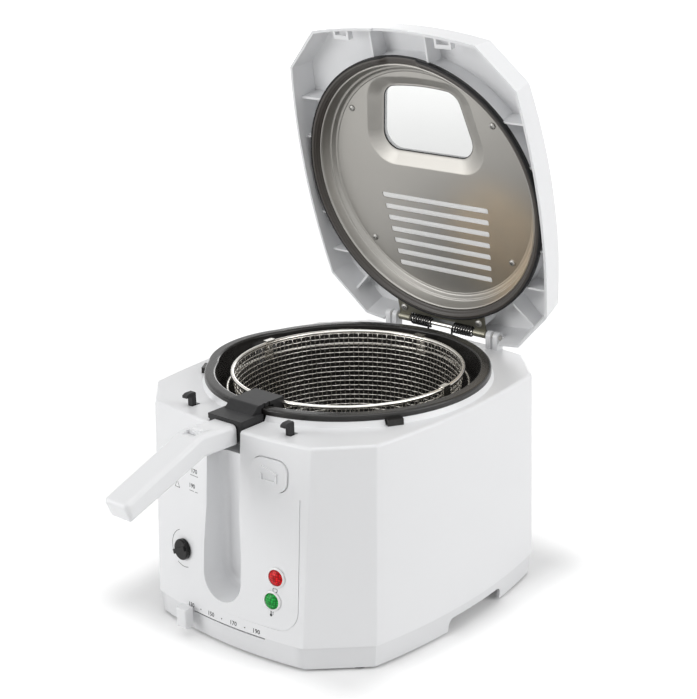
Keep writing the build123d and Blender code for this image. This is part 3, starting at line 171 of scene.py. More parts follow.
SETTINGS = {"fryer_colours": FryerColours, "fryer_basket": FryerBasket, "fryer_springs": FryerSprings,
            "fryer_print": FryerPrint, "fryer_stage": FryerStage}


# ---------------- node trees
class Number:
    """A socket of a node tree that takes plain arithmetic."""

    def __init__(self, tree, socket):
        self.tree, self.socket = tree, socket

    def then(self, operation, *values):
        """What a Math node makes of this number and others."""
        return calculate(self.tree, operation, self, *values)

    def __add__(self, other):
        return self.then("ADD", other)

    def __sub__(self, other):
        return self.then("SUBTRACT", other)

    def __mul__(self, other):
        return self.then("MULTIPLY", other)

    def __rsub__(self, other):
        return calculate(self.tree, "SUBTRACT", other, self)

    def __truediv__(self, other):
        return self.then("DIVIDE", other)

    def __rtruediv__(self, other):
        return calculate(self.tree, "DIVIDE", other, self)


def put(tree, kind, inputs=None, **settings):
    """Add a node, set its options and fill or link its inputs."""
    node = tree.nodes.new(kind)
    for key, value in settings.items():
        setattr(node, key, value)
    for key, value in (inputs or {}).items():
        value = value.socket if isinstance(value, Number) else value
        if isinstance(value, bpy.types.NodeSocket):
            tree.links.new(value, node.inputs[key])
        else:
            node.inputs[key].default_value = value
    return node


def made(tree, kind, inputs=None, **settings):
    """Add a node as put does and return its first output."""
    return Number(tree, put(tree, kind, inputs, **settings).outputs[0])


def calculate(tree, operation, *values):
    """Math node; its values are sockets or numbers."""
    return made(tree, "ShaderNodeMath", dict(enumerate(values)), operation=operation)


def on_vectors(tree, operation, *values, scale=None):
    """Vector math node; returns its number where the operation makes one."""
    inputs = {**dict(enumerate(values)), **({} if scale is None else {"Scale": scale})}
    node = put(tree, "ShaderNodeVectorMath", inputs, operation=operation)
    return Number(tree, node.outputs["Value" if operation in ("LENGTH", "DISTANCE") else 0])


def noise(tree, vector, scale, detail=2.0, **more):
    """Value of a noise texture."""
    return made(tree, "ShaderNodeTexNoise", {"Vector": vector, "Scale": scale, "Detail": detail, **more})


def ranged(tree, value, start, end, low=0.0, high=1.0, **settings):
    """Move a value that runs from start to end to one that runs from low to high."""
    return made(tree, "ShaderNodeMapRange", {"Value": value, "From Min": start, "From Max": end,
                                             "To Min": low, "To Max": high}, **settings)


def tinted(tree, shade, value):
    """A colour made darker or lighter."""
    return made(tree, "ShaderNodeHueSaturation", {"Color": shade, "Value": value})


def bumped(tree, height, distance, strength=1.0):
    """Normal raised by a height."""
    return made(tree, "ShaderNodeBump", {"Height": height, "Distance": distance, "Strength": strength})


def feed(tree, node, **sources):
    """Link sockets to a node's inputs, which are named with _ for a space."""
    for key, source in sources.items():
        tree.links.new(source.socket, node.inputs[key.replace("_", " ")])


def new_group(kind, name, inputs, outputs):
    """Node group with named sockets; returns the tree, its inputs by name and its output node."""
    tree = bpy.data.node_groups.new(name, kind)
    for label, socket, value in inputs:
        item = tree.interface.new_socket(label, in_out="INPUT", socket_type="NodeSocket" + socket)
        if value is not None:
            item.default_value = value
    for label, socket in outputs:
        tree.interface.new_socket(label, in_out="OUTPUT", socket_type="NodeSocket" + socket)
    entry = tree.nodes.new("NodeGroupInput")
    given = {label: Number(tree, entry.outputs[label]) for label, _, _ in inputs}
    return tree, given, tree.nodes.new("NodeGroupOutput")


SURFACE_INPUTS = (("Vector", "Vector", None), ("Colour", "Color", None), ("Shade change", "Float", 0.03),
                  ("Roughness", "Float", 0.3), ("Roughness change", "Float", 0.05),
                  ("Patch", "Float", 0.05), ("Grain", "Float", 0.0008), ("Grain depth", "Float", 0.00001))
SURFACE_OUTPUTS = (("Colour", "Color"), ("Roughness", "Float"), ("Normal", "Vector"))


def uneven(tree, given, output, patches, grain):
    """Vary a colour and a roughness by patches, and raise a grain."""
    centred = patches - 0.5
    value = centred.then("MULTIPLY_ADD", given["Shade change"], 1.0)
    shade = tinted(tree, given["Colour"], value)
    rough = centred.then("MULTIPLY_ADD", given["Roughness change"], given["Roughness"])
    feed(tree, output, Colour=shade, Roughness=rough, Normal=bumped(tree, grain, given["Grain depth"]))
    return tree


def make_moulded_group(name):
    """Slow patches and a fine round grain, as on moulded plastic and coatings."""
    tree, given, output = new_group("ShaderNodeTree", name, SURFACE_INPUTS, SURFACE_OUTPUTS)
    patches = noise(tree, given["Vector"], 1.0 / given["Patch"], 4.0)
    grain = noise(tree, given["Vector"], 1.0 / given["Grain"], 2.0)
    return uneven(tree, given, output, patches, grain)


def make_brushed_group(name):
    """Fine lines along the sheet's Y, as on rolled or brushed metal."""
    tree, given, output = new_group("ShaderNodeTree", name, SURFACE_INPUTS, SURFACE_OUTPUTS)
    patches = noise(tree, given["Vector"], 1.0 / given["Patch"], 3.0)
    drawn = on_vectors(tree, "MULTIPLY", given["Vector"], (1.0, 0.02, 1.0))
    lines = noise(tree, drawn, 1.0 / given["Grain"], 3.0)
    mixed = lines.then("MULTIPLY_ADD", 0.5, patches * 0.5)
    return uneven(tree, given, output, mixed, lines)


def make_edge_group(name):
    """Mask of the sharp edges, broken up by noise: wear on the black moulding, a painted highlight on the pot's
    coating.
    """
    tree, given, output = new_group("ShaderNodeTree", name, (("Vector", "Vector", None),
                                                             ("Amount", "Float", 0.5)), (("Mask", "Float"),))
    shape = put(tree, "ShaderNodeNewGeometry")
    edge = ranged(tree, shape.outputs["Pointiness"], 0.52, 0.62)
    feed(tree, output, Mask=edge * noise(tree, given["Vector"], 350.0, 3.0) * given["Amount"])
    return tree


# ---------------- finishes
def new_finish(name, **shader):
    """Material with a Principled shader; returns it, its tree, its shader and the object's coordinates."""
    material = bpy.data.materials.new(name)
    material.use_nodes = True
    tree = material.node_tree
    principled = tree.nodes["Principled BSDF"]
    for key, value in shader.items():
        principled.inputs[key.replace("_", " ")].default_value = value
    coordinates = put(tree, "ShaderNodeTexCoord").outputs["Object"]
    return material, tree, principled, coordinates


def mixed_with(tree, amount, shade, other):
    """A shade turned by an amount towards a fixed colour."""
    mix = put(tree, "ShaderNodeMix", {0: amount, 6: shade}, data_type="RGBA")
    mix.inputs[7].default_value = (*other, 1.0)
    return Number(tree, mix.outputs[2])


def surface_group(tree, name, make, inputs):
    """A shader group, made the first time it is asked for."""
    return put(tree, "ShaderNodeGroup", inputs, node_tree=bpy.data.node_groups.get(name) or make(name))


def uneven_finish(name, tint, group, make, values, edge=None, turn=0.0, **shader):
    """Finish whose colour, roughness and normal come from a surface group.
    tint may name a setting; edge is the colour of lightened edges, wear on the black moulding and a painted
    highlight on the pot's coating, and how much shows; turn lays the grain in a tilted sheet."""
    if isinstance(tint, str):
        tint = getattr(bpy.context.scene.fryer_colours, tint)
    material, tree, principled, coordinates = new_finish(name, **shader)
    if turn:
        coordinates = made(tree, "ShaderNodeMapping", {"Vector": coordinates, "Rotation": (turn, 0.0, 0.0)})
    surface = surface_group(tree, group, make, {"Vector": coordinates, "Colour": (*tint, 1.0), **values})
    shade, rough, normal = (Number(tree, surface.outputs[label]) for label, _ in SURFACE_OUTPUTS)
    if edge:
        wear_and_highlight_colour, amount = edge
        wear_and_highlight = surface_group(tree, "Rubbed edges", make_edge_group,
                               {"Vector": coordinates, "Amount": amount})
        # sharp edges lighten: wear on the black moulding, painted highlight on the pot's coating
        shade = mixed_with(tree, wear_and_highlight.outputs[0], shade, wear_and_highlight_colour)
    feed(tree, principled, Base_Color=shade, Roughness=rough, Normal=normal)
    return material


def moulded(name, tint, roughness, grain=0.0009, depth=0.000004, change=0.02, patch=0.06, **shader):
    """Moulded plastic, rubber or a coating."""
    values = {"Shade change": change, "Roughness": roughness, "Roughness change": 0.10, "Patch": patch,
              "Grain": grain, "Grain depth": depth}
    return uneven_finish(name, tint, "Moulded surface", make_moulded_group, values, **shader)


def brushed(name, tint, roughness, grain=0.0005, **shader):
    """Drawn or rolled metal."""
    values = {"Shade change": 0.10, "Roughness": roughness, "Roughness change": 0.14, "Patch": 0.045,
              "Grain": grain, "Grain depth": 0.000003}
    return uneven_finish(name, tint, "Brushed sheet", make_brushed_group, values, Metallic=1.0, **shader)


def lining_finish(name, tint, roughness, spot, reach, warm_reflection):
    """Brushed steel with a painted warm reflection in broken patches about a place."""
    material = brushed(name, tint, roughness, turn=LID_OPEN)
    tree = material.node_tree
    principled = tree.nodes["Principled BSDF"]
    shade = principled.inputs["Base Color"].links[0].from_socket
    coordinates = put(tree, "ShaderNodeTexCoord").outputs["Object"]
    # painted reflection: the steel's colour turns warm in broken patches near the given place
    away = on_vectors(tree, "DISTANCE", coordinates, spot)
    reflection_fade = ranged(tree, away, 0.2 * reach, reach, 1.0, 0.0, interpolation_type="SMOOTHERSTEP")
    patches = noise(tree, coordinates, 28.0, 5.0).then("MULTIPLY_ADD", 0.8, 0.5)
    feed(tree, principled, Base_Color=mixed_with(tree, reflection_fade * patches, shade, warm_reflection))
    return material


def lens_finish(name, tint):
    """Tinted lit lens with small prisms moulded on its inside."""
    material, tree, principled, coordinates = new_finish(name, Roughness=0.24, Specular_IOR_Level=0.15,
                                                         Emission_Strength=0.50)
    cells = put(tree, "ShaderNodeTexVoronoi",
                {"Vector": coordinates, "Scale": 520.0, "Randomness": 0.35}).outputs["Distance"]
    shade = ranged(tree, cells, 0.0, 0.6, 1.45, 0.35)
    lit = tinted(tree, (*tint, 1.0), shade)
    feed(tree, principled, Base_Color=lit, Emission_Color=lit, Normal=bumped(tree, cells, 0.00012, 0.5))
    return material


def glass_finish(name, tint):
    """Toughened glass with faint wipe marks."""
    material, tree, principled, coordinates = new_finish(
        name, Base_Color=(*tint, 1.0), Transmission_Weight=1.0, IOR=1.46, Specular_IOR_Level=0.1)
    marks = noise(tree, coordinates, 40.0, 6.0)
    feed(tree, principled, Roughness=ranged(tree, marks, 0.4, 0.7, 0.01, 0.06))
    return material


def felt_finish(name, tint):
    """Needled felt: matted fibres in all directions."""
    material, tree, principled, coordinates = new_finish(name, Specular_IOR_Level=0.1)
    fibre = noise(tree, coordinates, 900.0, 6.0, Distortion=2.0)
    shade = ranged(tree, fibre, 0.3, 0.7, 0.96, 1.0)
    feed(tree, principled, Base_Color=tinted(tree, (*tint, 1.0), shade),
         Normal=bumped(tree, fibre, 0.0004, 0.8), Roughness=ranged(tree, fibre, 0.0, 1.0, 0.8, 1.0))
    return material


def finish(key):
    """The named finish, made the first time it is asked for."""
    name, make, values, options = FINISHES[key]
    return bpy.data.materials.get(name) or make(name, *values, **options)


DULL = {"Specular_IOR_Level": 0.22}
FINISHES = {  # name, maker, colour and its maker's next values, options
    "white": ("White moulding", moulded, ("white", 0.30, 0.0012, 0.000002, 0.012), {"IOR": 1.5}),
    "base": ("Base moulding", moulded, ((0.78, 0.785, 0.795), 0.36, 0.0010, 0.000003, 0.015), {"IOR": 1.5}),
    "black": ("Black moulding", moulded, ("black", 0.45, 0.0005, 0.000012, 0.25, 0.02),
              {"edge": ((0.05, 0.05, 0.05), 0.4), **DULL}),
    "gloss_black": ("Gloss black moulding", moulded, ((0.008, 0.008, 0.008), 0.20, 0.0008, 0.000003, 0.15),
                    DULL),
    "inside": ("Inner moulding", moulded, ((0.66, 0.64, 0.58), 0.5), {"depth": 0.00001}),
    # the coating's lighter edges are a painted highlight along the pot's rim
    "coating": ("Pot coating", moulded, ("coating", 0.24, 0.0006, 0.000006, 0.30, 0.012),
                {"edge": ((0.06, 0.06, 0.056), 0.3), "Specular_IOR_Level": 0.35}),
    # the lid steel's place, reach and colour are those of a painted warm reflection on the lining
    "steel": ("Lid steel", lining_finish,
              ("steel", 0.46, swung(place(62.0, 42.0, 198.0)), 0.075, (0.52, 0.43, 0.32)), {}),
    "galvanised": ("Galvanised sheet", brushed, ((0.60, 0.61, 0.62), 0.42, 0.004), {}),
    "aluminium": ("Aluminium plate", brushed, ((0.70, 0.70, 0.71), 0.38), {}),
    "sheath": ("Element sheath", brushed, ((0.30, 0.28, 0.25), 0.45), {}),
    "wire": ("Plated wire", brushed, ((0.70, 0.68, 0.64), 0.22, 0.002), {}),
    "zinc": ("Zinc plate", brushed, ((0.34, 0.335, 0.32), 0.42, 0.001), {}),
    "bracket": ("Passivated plate", brushed, ((0.22, 0.212, 0.172), 0.42, 0.0008), {"turn": LID_OPEN}),
    "spring": ("Black oiled wire", moulded, ((0.010, 0.010, 0.010), 0.20, 0.0006, 0.000006, 0.3, 0.01), {}),
    "seal": ("Seal rubber", moulded, ((0.050, 0.043, 0.037), 0.42, 0.0006, 0.00001, 0.2, 0.03), {}),
    "foot": ("Foot rubber", moulded, ((0.05, 0.05, 0.05), 0.7, 0.0006, 0.00002, 0.2), {}),
    "bezel": ("Lamp bezel", moulded, ((0.80, 0.80, 0.80), 0.25), {}),
    "ink": ("Print", moulded, ("ink", 0.5, 0.0004, 0.000002, 0.3), {}),
    "red": ("Red lens", lens_finish, ((0.56, 0.006, 0.009),), {}),
    "green": ("Green lens", lens_finish, ((0.012, 0.30, 0.045),), {}),
    "glass": ("Window glass", glass_finish, ((0.61, 0.615, 0.61),), {}),
    "felt": ("Filter felt", felt_finish, ((0.99, 0.99, 0.985),), {}),
}


# ---------------- making pieces
SHARP = math.radians(32.0)  # steeper edges stay sharp in a smoothed copy


def new_piece(name, mesh, material=None):
    """Link a mesh as a piece."""
    piece = bpy.data.objects.new(name, mesh)
    bpy.context.scene.collection.objects.link(piece)
    if material:
        mesh.materials.clear()
        mesh.materials.append(material)
    return piece


def mesh_of(bm, name, smooth=False):
    """Write a bmesh to a new mesh and free it."""
    for face in bm.faces if smooth else ():
        face.smooth = True
    mesh = bpy.data.meshes.new(name)
    bm.to_mesh(mesh)
    bm.free()
    return mesh


def evaluated(piece):
    """The mesh that a piece's modifiers or curve make."""
    return bpy.data.meshes.new_from_object(piece.evaluated_get(bpy.context.evaluated_depsgraph_get()))


def settled(piece):
    """Turn what a piece's modifiers make into its plain mesh."""
    mesh = evaluated(piece)
    piece.modifiers.clear()
    piece.data = mesh
    return piece


def curve_mesh(curve):
    """A curve's or a text's shape as a plain mesh."""
    writer = new_piece(curve.name, curve)
    mesh = evaluated(writer)
    bpy.data.objects.remove(writer)
    return mesh


def grown(name, tree, values, mesh=None):
    """Run a Geometry Nodes tree once and keep its mesh."""
    piece = new_piece(name, mesh or bpy.data.meshes.new(name))
    modifier = piece.modifiers.new("Grow", "NODES")
    modifier.node_group = tree
    for item in tree.interface.items_tree:
        if item.item_type == "SOCKET" and item.in_out == "INPUT" and item.name in values:
            modifier[item.identifier] = values[item.name]
    return settled(piece)


def add_to(piece, node):
    """Let a piece ride with the body of a CAD node."""
    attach(piece, BODY_OF[node])
    return piece


def stand_for(piece, node):
    """Let a piece ride as the CAD node it replaces, and hide that node."""
    add_to(piece, node)
    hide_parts(node)
    return piece


def welded(node):
    """A CAD node's shape as a bmesh whose facets share their corners."""
    bm = bmesh.new()
    bm.from_mesh(NODES[node].data)
    bmesh.ops.remove_doubles(bm, verts=bm.verts, dist=SAME_SPOT)
    return bm


def smooth_copy(node, key):
    """A CAD node's shape with its facets joined and shaded as one surface up to its real edges."""
    bm = welded(node)
    bmesh.ops.dissolve_degenerate(bm, edges=bm.edges, dist=SAME_SPOT)
    for edge in bm.edges:
        edge.smooth = len(edge.link_faces) == 2 and edge.calc_face_angle(0.0) < SHARP
    name = node + "_finished"
    piece = new_piece(name, mesh_of(bm, name, smooth=True), finish(key))
    modifier = piece.modifiers.new("Normals", "WEIGHTED_NORMAL")
    modifier.keep_sharp = True
    modifier.weight = 80
    stand_for(settled(piece), node)


def coat(node, key):
    """Give a CAD node that stays its finish."""
    shape = NODES[node]
    if not shape.material_slots:
        shape.data.materials.append(finish(key))
    for slot in shape.material_slots:
        slot.material = finish(key)


# ---------------- Geometry Nodes trees
SEAM = 0.01 * MM  # the woven side's first and last wires are joined across this
EDGE_RUN = 0.3  # how far the side's lower edge runs in under the floor, as part of its turn
LEGS = ("Leg 1", "Leg 2")
LEG_ENDS = tuple(leg + end for leg in LEGS for end in (" start", " end"))


def geometry_tree(name, **kinds):
    """Geometry Nodes group with one geometry output and inputs named by kind."""
    inputs = [(label, kind, None) for kind, labels in kinds.items() for label in labels]
    return new_group("GeometryNodeTree", name, inputs, (("Geometry", "Geometry"),))


def changed(tree, kind, geometry, settings=None, **inputs):
    """Geometry after one node's change."""
    return made(tree, "GeometryNode" + kind, {"Geometry": geometry, **inputs}, **(settings or {}))


def parts_of(tree, vector):
    """X, Y and Z of a vector."""
    return [Number(tree, part) for part in put(tree, "ShaderNodeSeparateXYZ", {0: vector}).outputs]


def stored(tree, geometry, name, value, domain):
    """Geometry with a number stored under a name."""
    return changed(tree, "StoreNamedAttribute", geometry, {"data_type": "FLOAT", "domain": domain},
                   Name=name, Value=value)


def named(tree, name, kind="FLOAT"):
    """What is stored under a name."""
    return made(tree, "GeometryNodeInputNamedAttribute", {"Name": name}, data_type=kind)


def swept(tree, curves, radius, sides, material):
    """Sweep a round wire along curves."""
    profile = made(tree, "GeometryNodeCurvePrimitiveCircle", {"Resolution": sides, "Radius": radius})
    wire = made(tree, "GeometryNodeCurveToMesh", {"Curve": curves, "Profile Curve": profile, "Fill Caps": True})
    return changed(tree, "SetMaterial", changed(tree, "SetShadeSmooth", wire), Material=material)


def marked_grid(tree, columns, rows):
    """Flat grid of wire crossings, with which wire runs over at each, and which edges run across."""
    grid = made(tree, "GeometryNodeMeshGrid", {"Size X": 1.0, "Size Y": 1.0, "Vertices X": columns,
                                               "Vertices Y": rows})
    index = made(tree, "GeometryNodeInputIndex")
    column = ((index + 0.5) / rows).then("FLOOR")
    row = (index - column * rows).then("ROUND")
    odd = (column + row).then("MODULO", 2.0).then("ROUND")
    marked = stored(tree, grid, "over", odd.then("MULTIPLY_ADD", 2.0, -1.0), "POINT")
    ends = put(tree, "GeometryNodeInputMeshEdgeVertices").outputs
    x, y, _ = parts_of(tree, on_vectors(tree, "SUBTRACT", ends["Position 1"], ends["Position 2"]))
    across = x.then("ABSOLUTE").then("GREATER_THAN", y.then("ABSOLUTE"))
    return stored(tree, marked, "across", across, "EDGE")


def woven(tree, output, surface, given):
    """Weave wires along both directions of a marked grid that has been given its shape."""
    over, across = named(tree, "over"), named(tree, "across")
    normal = made(tree, "GeometryNodeInputNormal")
    joined = put(tree, "GeometryNodeJoinGeometry")
    for direction, side in (("GREATER_THAN", 0.5), ("LESS_THAN", -0.5)):
        shift = on_vectors(tree, "SCALE", normal, scale=over * given["Wire"] * side)
        waved = changed(tree, "SetPosition", surface, Offset=shift)
        lines = made(tree, "GeometryNodeMeshToCurve", {"Mesh": waved, "Selection": across.then(direction, 0.5)})
        feed(tree, joined, Geometry=swept(tree, lines, given["Wire"] * 0.5, 6, given["Material"]))
    feed(tree, output, Geometry=changed(tree, "RealizeInstances", joined.outputs[0]))
    return tree


def make_wall_tree():
    """Woven side of the basket: a tapering cup with a turned-in lower edge."""
    tree, given, output = geometry_tree(
        "Woven side", Int=("Columns", "Rows"), Vector=("Centre",), Material=("Material",),
        Float=("Top Z", "Height", "Top Radius", "Base Radius", "Turn", "Wire"))
    grid = marked_grid(tree, given["Columns"] + 1.0, given["Rows"])
    x, y, _ = parts_of(tree, made(tree, "GeometryNodeInputPosition"))
    height, turn = given["Height"], given["Turn"]
    angle = x * (2.0 * math.pi)
    run = (y + 0.5) * (height + turn * EDGE_RUN)
    straight = height - turn
    wall = run.then("MINIMUM", straight)
    bend = (run - wall) / (turn * (1.0 + EDGE_RUN)) * (math.pi / 2.0)
    taper = ranged(tree, wall, 0.0, straight, given["Top Radius"], given["Base Radius"])
    radius = taper - (1.0 - bend.then("COSINE")) * turn
    drop = wall + bend.then("SINE") * turn
    spot = made(tree, "ShaderNodeCombineXYZ", {0: angle.then("COSINE") * radius, 1: angle.then("SINE") * radius,
                                               2: given["Top Z"] - drop})
    cup = changed(tree, "SetPosition", grid, Position=on_vectors(tree, "ADD", spot, given["Centre"]))
    return woven(tree, output, changed(tree, "MergeByDistance", cup, Distance=SEAM), given)


def make_floor_tree():
    """Woven round floor of the basket."""
    tree, given, output = geometry_tree(
        "Woven floor", Int=("Count",), Float=("Pitch", "Radius", "Wire"), Vector=("Centre",),
        Material=("Material",))
    grid = marked_grid(tree, given["Count"], given["Count"])
    here = made(tree, "GeometryNodeInputPosition")
    wide = on_vectors(tree, "SCALE", here, scale=(given["Count"] - 1.0) * given["Pitch"])
    outside = on_vectors(tree, "LENGTH", here).then("GREATER_THAN", given["Radius"])
    sheet = changed(tree, "SetPosition", grid, Position=wide)
    sheet = changed(tree, "DeleteGeometry", sheet, {"domain": "POINT"}, Selection=outside)
    return woven(tree, output, changed(tree, "Transform", sheet, Translation=given["Centre"]), given)


def make_spring_tree():
    """Wound spring along its own Z, with two straight legs."""
    tree, given, output = geometry_tree(
        "Wound spring", Float=("Turns", "Coil", "Length", "Wire"), Vector=("Place", "Turn", *LEG_ENDS),
        Material=("Material",))
    coil = made(tree, "GeometryNodeCurveSpiral", {
        "Resolution": 20, "Rotations": given["Turns"], "Start Radius": given["Coil"],
        "End Radius": given["Coil"], "Height": given["Length"]})
    turned = changed(tree, "Transform", coil, Translation=given["Place"], Rotation=given["Turn"])
    joined = put(tree, "GeometryNodeJoinGeometry")
    for leg in LEGS:
        feed(tree, joined, Geometry=made(tree, "GeometryNodeCurvePrimitiveLine",
                                         {"Start": given[leg + " start"], "End": given[leg + " end"]}))
    feed(tree, joined, Geometry=turned)
    wire = swept(tree, joined.outputs[0], given["Wire"] * 0.5, 10, given["Material"])
    feed(tree, output, Geometry=changed(tree, "RealizeInstances", wire))
    return tree


def make_screw_tree():
    """Set a screw head on every point, along the point's axis and turned by a fixed seed."""
    tree, given, output = geometry_tree("Screws", Geometry=("Geometry",), Object=("Head",), Float=("Scale",),
                                        Int=("Seed",), Material=("Material",))
    head = put(tree, "GeometryNodeObjectInfo", {"Object": given["Head"]}).outputs["Geometry"]
    spin = put(tree, "FunctionNodeRandomValue", {"Seed": given["Seed"], 3: math.pi / 2.0}, data_type="FLOAT")
    aimed = made(tree, "FunctionNodeAlignRotationToVector", {"Vector": named(tree, "axis", "FLOAT_VECTOR")},
                 axis="Z")
    about = made(tree, "FunctionNodeAxisAngleToRotation", {"Angle": spin.outputs[1]})
    turned = made(tree, "FunctionNodeRotateRotation", {"Rotation": aimed, "Rotate By": about},
                  rotation_space="LOCAL")
    heads = made(tree, "GeometryNodeInstanceOnPoints", {
        "Points": given["Geometry"], "Instance": head, "Rotation": turned, "Scale": given["Scale"]})
    solid = changed(tree, "RealizeInstances", heads)
    feed(tree, output, Geometry=changed(tree, "SetMaterial", solid, Material=given["Material"]))
    return tree


# ---------------- pieces
SMOOTHED = {
    "body": {"housing": "white", "base_tray": "base", "feet": "foot", "cord_gland": "black"},
    "pot": {"oil_pot": "coating"},
    "lid": {"lid_shell": "white", "filter_cover": "white"},
    "lining": {"inner_lid": "steel", "window_glass": "glass"},
    "controls": {"open_button": "white", "power_lamp": "red", "temperature_lamp": "green",
                 "lamp_bezels": "bezel", "timer_knob": "gloss_black", "temperature_slider": "white",
                 "latch_yoke": "black"},
    "basket": {"basket_rim": "wire", "basket_hoop": "wire", "basket_clips": "wire"},
    "handle": {"basket_saddle": "black", "handle_upper": "white", "handle_lower": "white",
               "handle_catch": "white", "handle_pivot_pin": "zinc"},
    "hinge": {"hinge_bracket": "bracket", "hinge_rod": "wire"},
}
INNER = {"heat_shield": "galvanised", "heating_element": "sheath", "element_plate": "aluminium",
         "thermal_cutout": "black", "thermostat": "inside", "thermostat_lever": "galvanised",
         "terminal_block": "inside", "timer_body": "inside", "lamp_holders": "inside"}


def smooth_group(group):
    """Smoothed copies of one group of CAD nodes."""
    for node, key in SMOOTHED[group].items():
        smooth_copy(node, key)
    return {"FINISHED"}


class FRYER_OT_body(bpy.types.Operator):
    """Body and base mouldings, feet and cord gland"""
    bl_idname = "fryer.body"
    bl_label = "Body"

    def execute(self, context):
        return smooth_group("body")


class FRYER_OT_pot(bpy.types.Operator):
    """Non-stick oil pot"""
    bl_idname = "fryer.pot"
    bl_label = "Oil pot"

    def execute(self, context):
        return smooth_group("pot")


class FRYER_OT_inner_parts(bpy.types.Operator):
    """Finishes of the heater, thermostat, timer and other inner parts"""
    bl_idname = "fryer.inner_parts"
    bl_label = "Inner parts"

    def execute(self, context):
        for node, key in INNER.items():
            coat(node, key)
        return {"FINISHED"}


class FRYER_OT_lid(bpy.types.Operator):
    """Lid moulding and filter cover"""
    bl_idname = "fryer.lid"
    bl_label = "Lid"

    def execute(self, context):
        return smooth_group("lid")


# the lining's vent slots in millimetres: the first one's place and half length, and the next ones' change
VENTS = {"count": 7, "first": 15.5, "pitch": 10.4, "half": 54.0, "shrink": 1.05, "height": 4.9, "corner": 1.6}
VENT_SWELL = ((0.3, -0.4), (0.3, 0.25), (0.5, 0.45), (0.9, 0.55))  # inset from the slot and rise above the mat
FELT_EDGE = 0.8 * MM
SEAL_PROFILE = (  # radius and height above the seal's foot, in millimetres, as in the profiles below
    (107.3, 4.9), (107.3, 4.0), (108.0, 3.0), (108.7, 2.9), (109.0, 1.9), (109.8, 1.1), (110.5, 1.0),
    (110.8, 0.3), (111.6, 0.0), (112.6, 0.0), (113.1, 0.4), (113.2, 1.0), (113.7, 1.3), (114.2, 1.2),
    (114.2, 1.9), (113.6, 2.3), (113.4, 3.0), (113.9, 3.4), (113.9, 4.1), (113.2, 4.9))
LIP_PROFILE = ((113.0, 4.6), (113.0, 0.5), (113.5, 0.1), (114.2, 0.1), (114.6, 0.5), (114.5, 4.6))
BEAD_PROFILE = (  # the pressed step round the lining's disc
    (109.0, 5.0), (108.0, 4.9), (107.5, 4.5), (107.2, 4.0), (106.7, 3.8), (106.2, 3.9), (105.7, 4.3),
    (105.4, 5.0), (105.2, 5.8), (103.4, 11.0), (103.0, 11.7), (102.4, 12.0), (101.8, 12.0), (101.3, 12.2),
    (100.9, 12.7), (100.0, 14.4), (99.5, 14.9), (98.8, 15.2), (98.0, 15.26), (97.0, 15.27))
SEAL_ARCH = (15.2, 19.0, 3.4)  # half width and foot of the arch over the saddle, and its height
SHEET = 0.6  # thickness of the pressed step, in millimetres
DISC_EDGE = 98.8 * MM  # the lining's disc ends here, under the step
RING_STEPS = 240
GASKET = {"radius": 0.55 * MM, "set_back": 0.2 * MM}
LEVEL = 0.02 * MM  # places this close in height are on one face
BACK_OF_SHEET = (0.5 * MM, 0.9 * MM)  # how far the lining's other face is from its top one


def rounded_outline(half_x, half_y, corner, steps=4):
    """Corner points of a rectangle with rounded corners, in order."""
    spots = []
    for quarter, (sx, sy) in enumerate(((1, 1), (-1, 1), (-1, -1), (1, -1))):
        for i in range(steps + 1):
            angle = math.pi / 2.0 * (quarter + i / steps)
            spots.append((sx * (half_x - corner) + corner * math.cos(angle),
                          sy * (half_y - corner) + corner * math.sin(angle)))
    return spots


def skin(bm, rings):
    """Faces between each two neighbouring rings of corners."""
    for here, there in zip(rings, rings[1:]):
        for i, vertex in enumerate(here):
            bm.faces.new((here[i - 1], vertex, there[i], there[i - 1]))


def vent_bulge(bm, half, y):
    """Felt that swells into one vent slot of the lining."""
    back = shut_heights("filter_pad")[0] / MM
    rings = []
    for inset, rise in VENT_SWELL:
        outline = rounded_outline(half - inset, VENTS["height"] / 2.0 - inset, VENTS["corner"] - inset * 0.5)
        rings.append([bm.verts.new(swung(place(u, y + v, back - rise))) for u, v in outline])
    skin(bm, rings)
    for end in (rings[0], rings[-1]):
        bm.faces.new(end)
    bmesh.ops.recalc_face_normals(bm, faces=bm.faces)


def felt_pad():
    """Felt mat with a soft rounded edge, in the room of its CAD solid."""
    bm = welded("filter_pad")
    bmesh.ops.dissolve_limit(bm, angle_limit=math.radians(0.5), verts=bm.verts, edges=bm.edges)
    edges = [edge for edge in bm.edges if edge.calc_face_angle(0.0) > math.radians(60)]
    bmesh.ops.bevel(bm, geom=edges, offset=FELT_EDGE, segments=3, profile=0.6, affect="EDGES",
                    clamp_overlap=True)
    for i in range(VENTS["count"]):
        vent_bulge(bm, VENTS["half"] - i * VENTS["shrink"], VENTS["first"] + i * VENTS["pitch"])
    return new_piece("filter_mat", mesh_of(bm, "filter_mat", smooth=True), finish("felt"))


def turned_ring(name, key, section, arch=None):
    """Closed section turned about the pot's axis on the shut lid, then swung open with it."""
    foot, top = (height / MM for height in shut_heights("lid_seal"))
    bm = bmesh.new()
    rings = []
    for i in range(RING_STEPS):
        angle = 2.0 * math.pi * i / RING_STEPS
        ring = []
        for radius, height in section:
            x, y = radius * math.cos(angle), radius * math.sin(angle)
            if arch and y < 0:
                flat, wide, rise = arch
                near = min(1.0, max(0.0, (wide - abs(x)) / (wide - flat)))
                squeezed = 1.0 - near * near * (3.0 - 2.0 * near) * rise / (top - foot)
                height = top - foot - (top - foot - height) * squeezed
            ring.append(bm.verts.new(swung(place(x, y, foot + height))))
        rings.append(ring)
    skin(bm, rings + rings[:1])
    bmesh.ops.recalc_face_normals(bm, faces=bm.faces)
    return new_piece(name, mesh_of(bm, name, smooth=True), finish(key))


def pressed_step():
    """Rolled bead, steep wall and small step between the seal and the lining's disc."""
    back = [(radius + 0.5 * SHEET, height + SHEET) for radius, height in reversed(BEAD_PROFILE)]
    return turned_ring("lining_step", "steel", [*BEAD_PROFILE, *back])


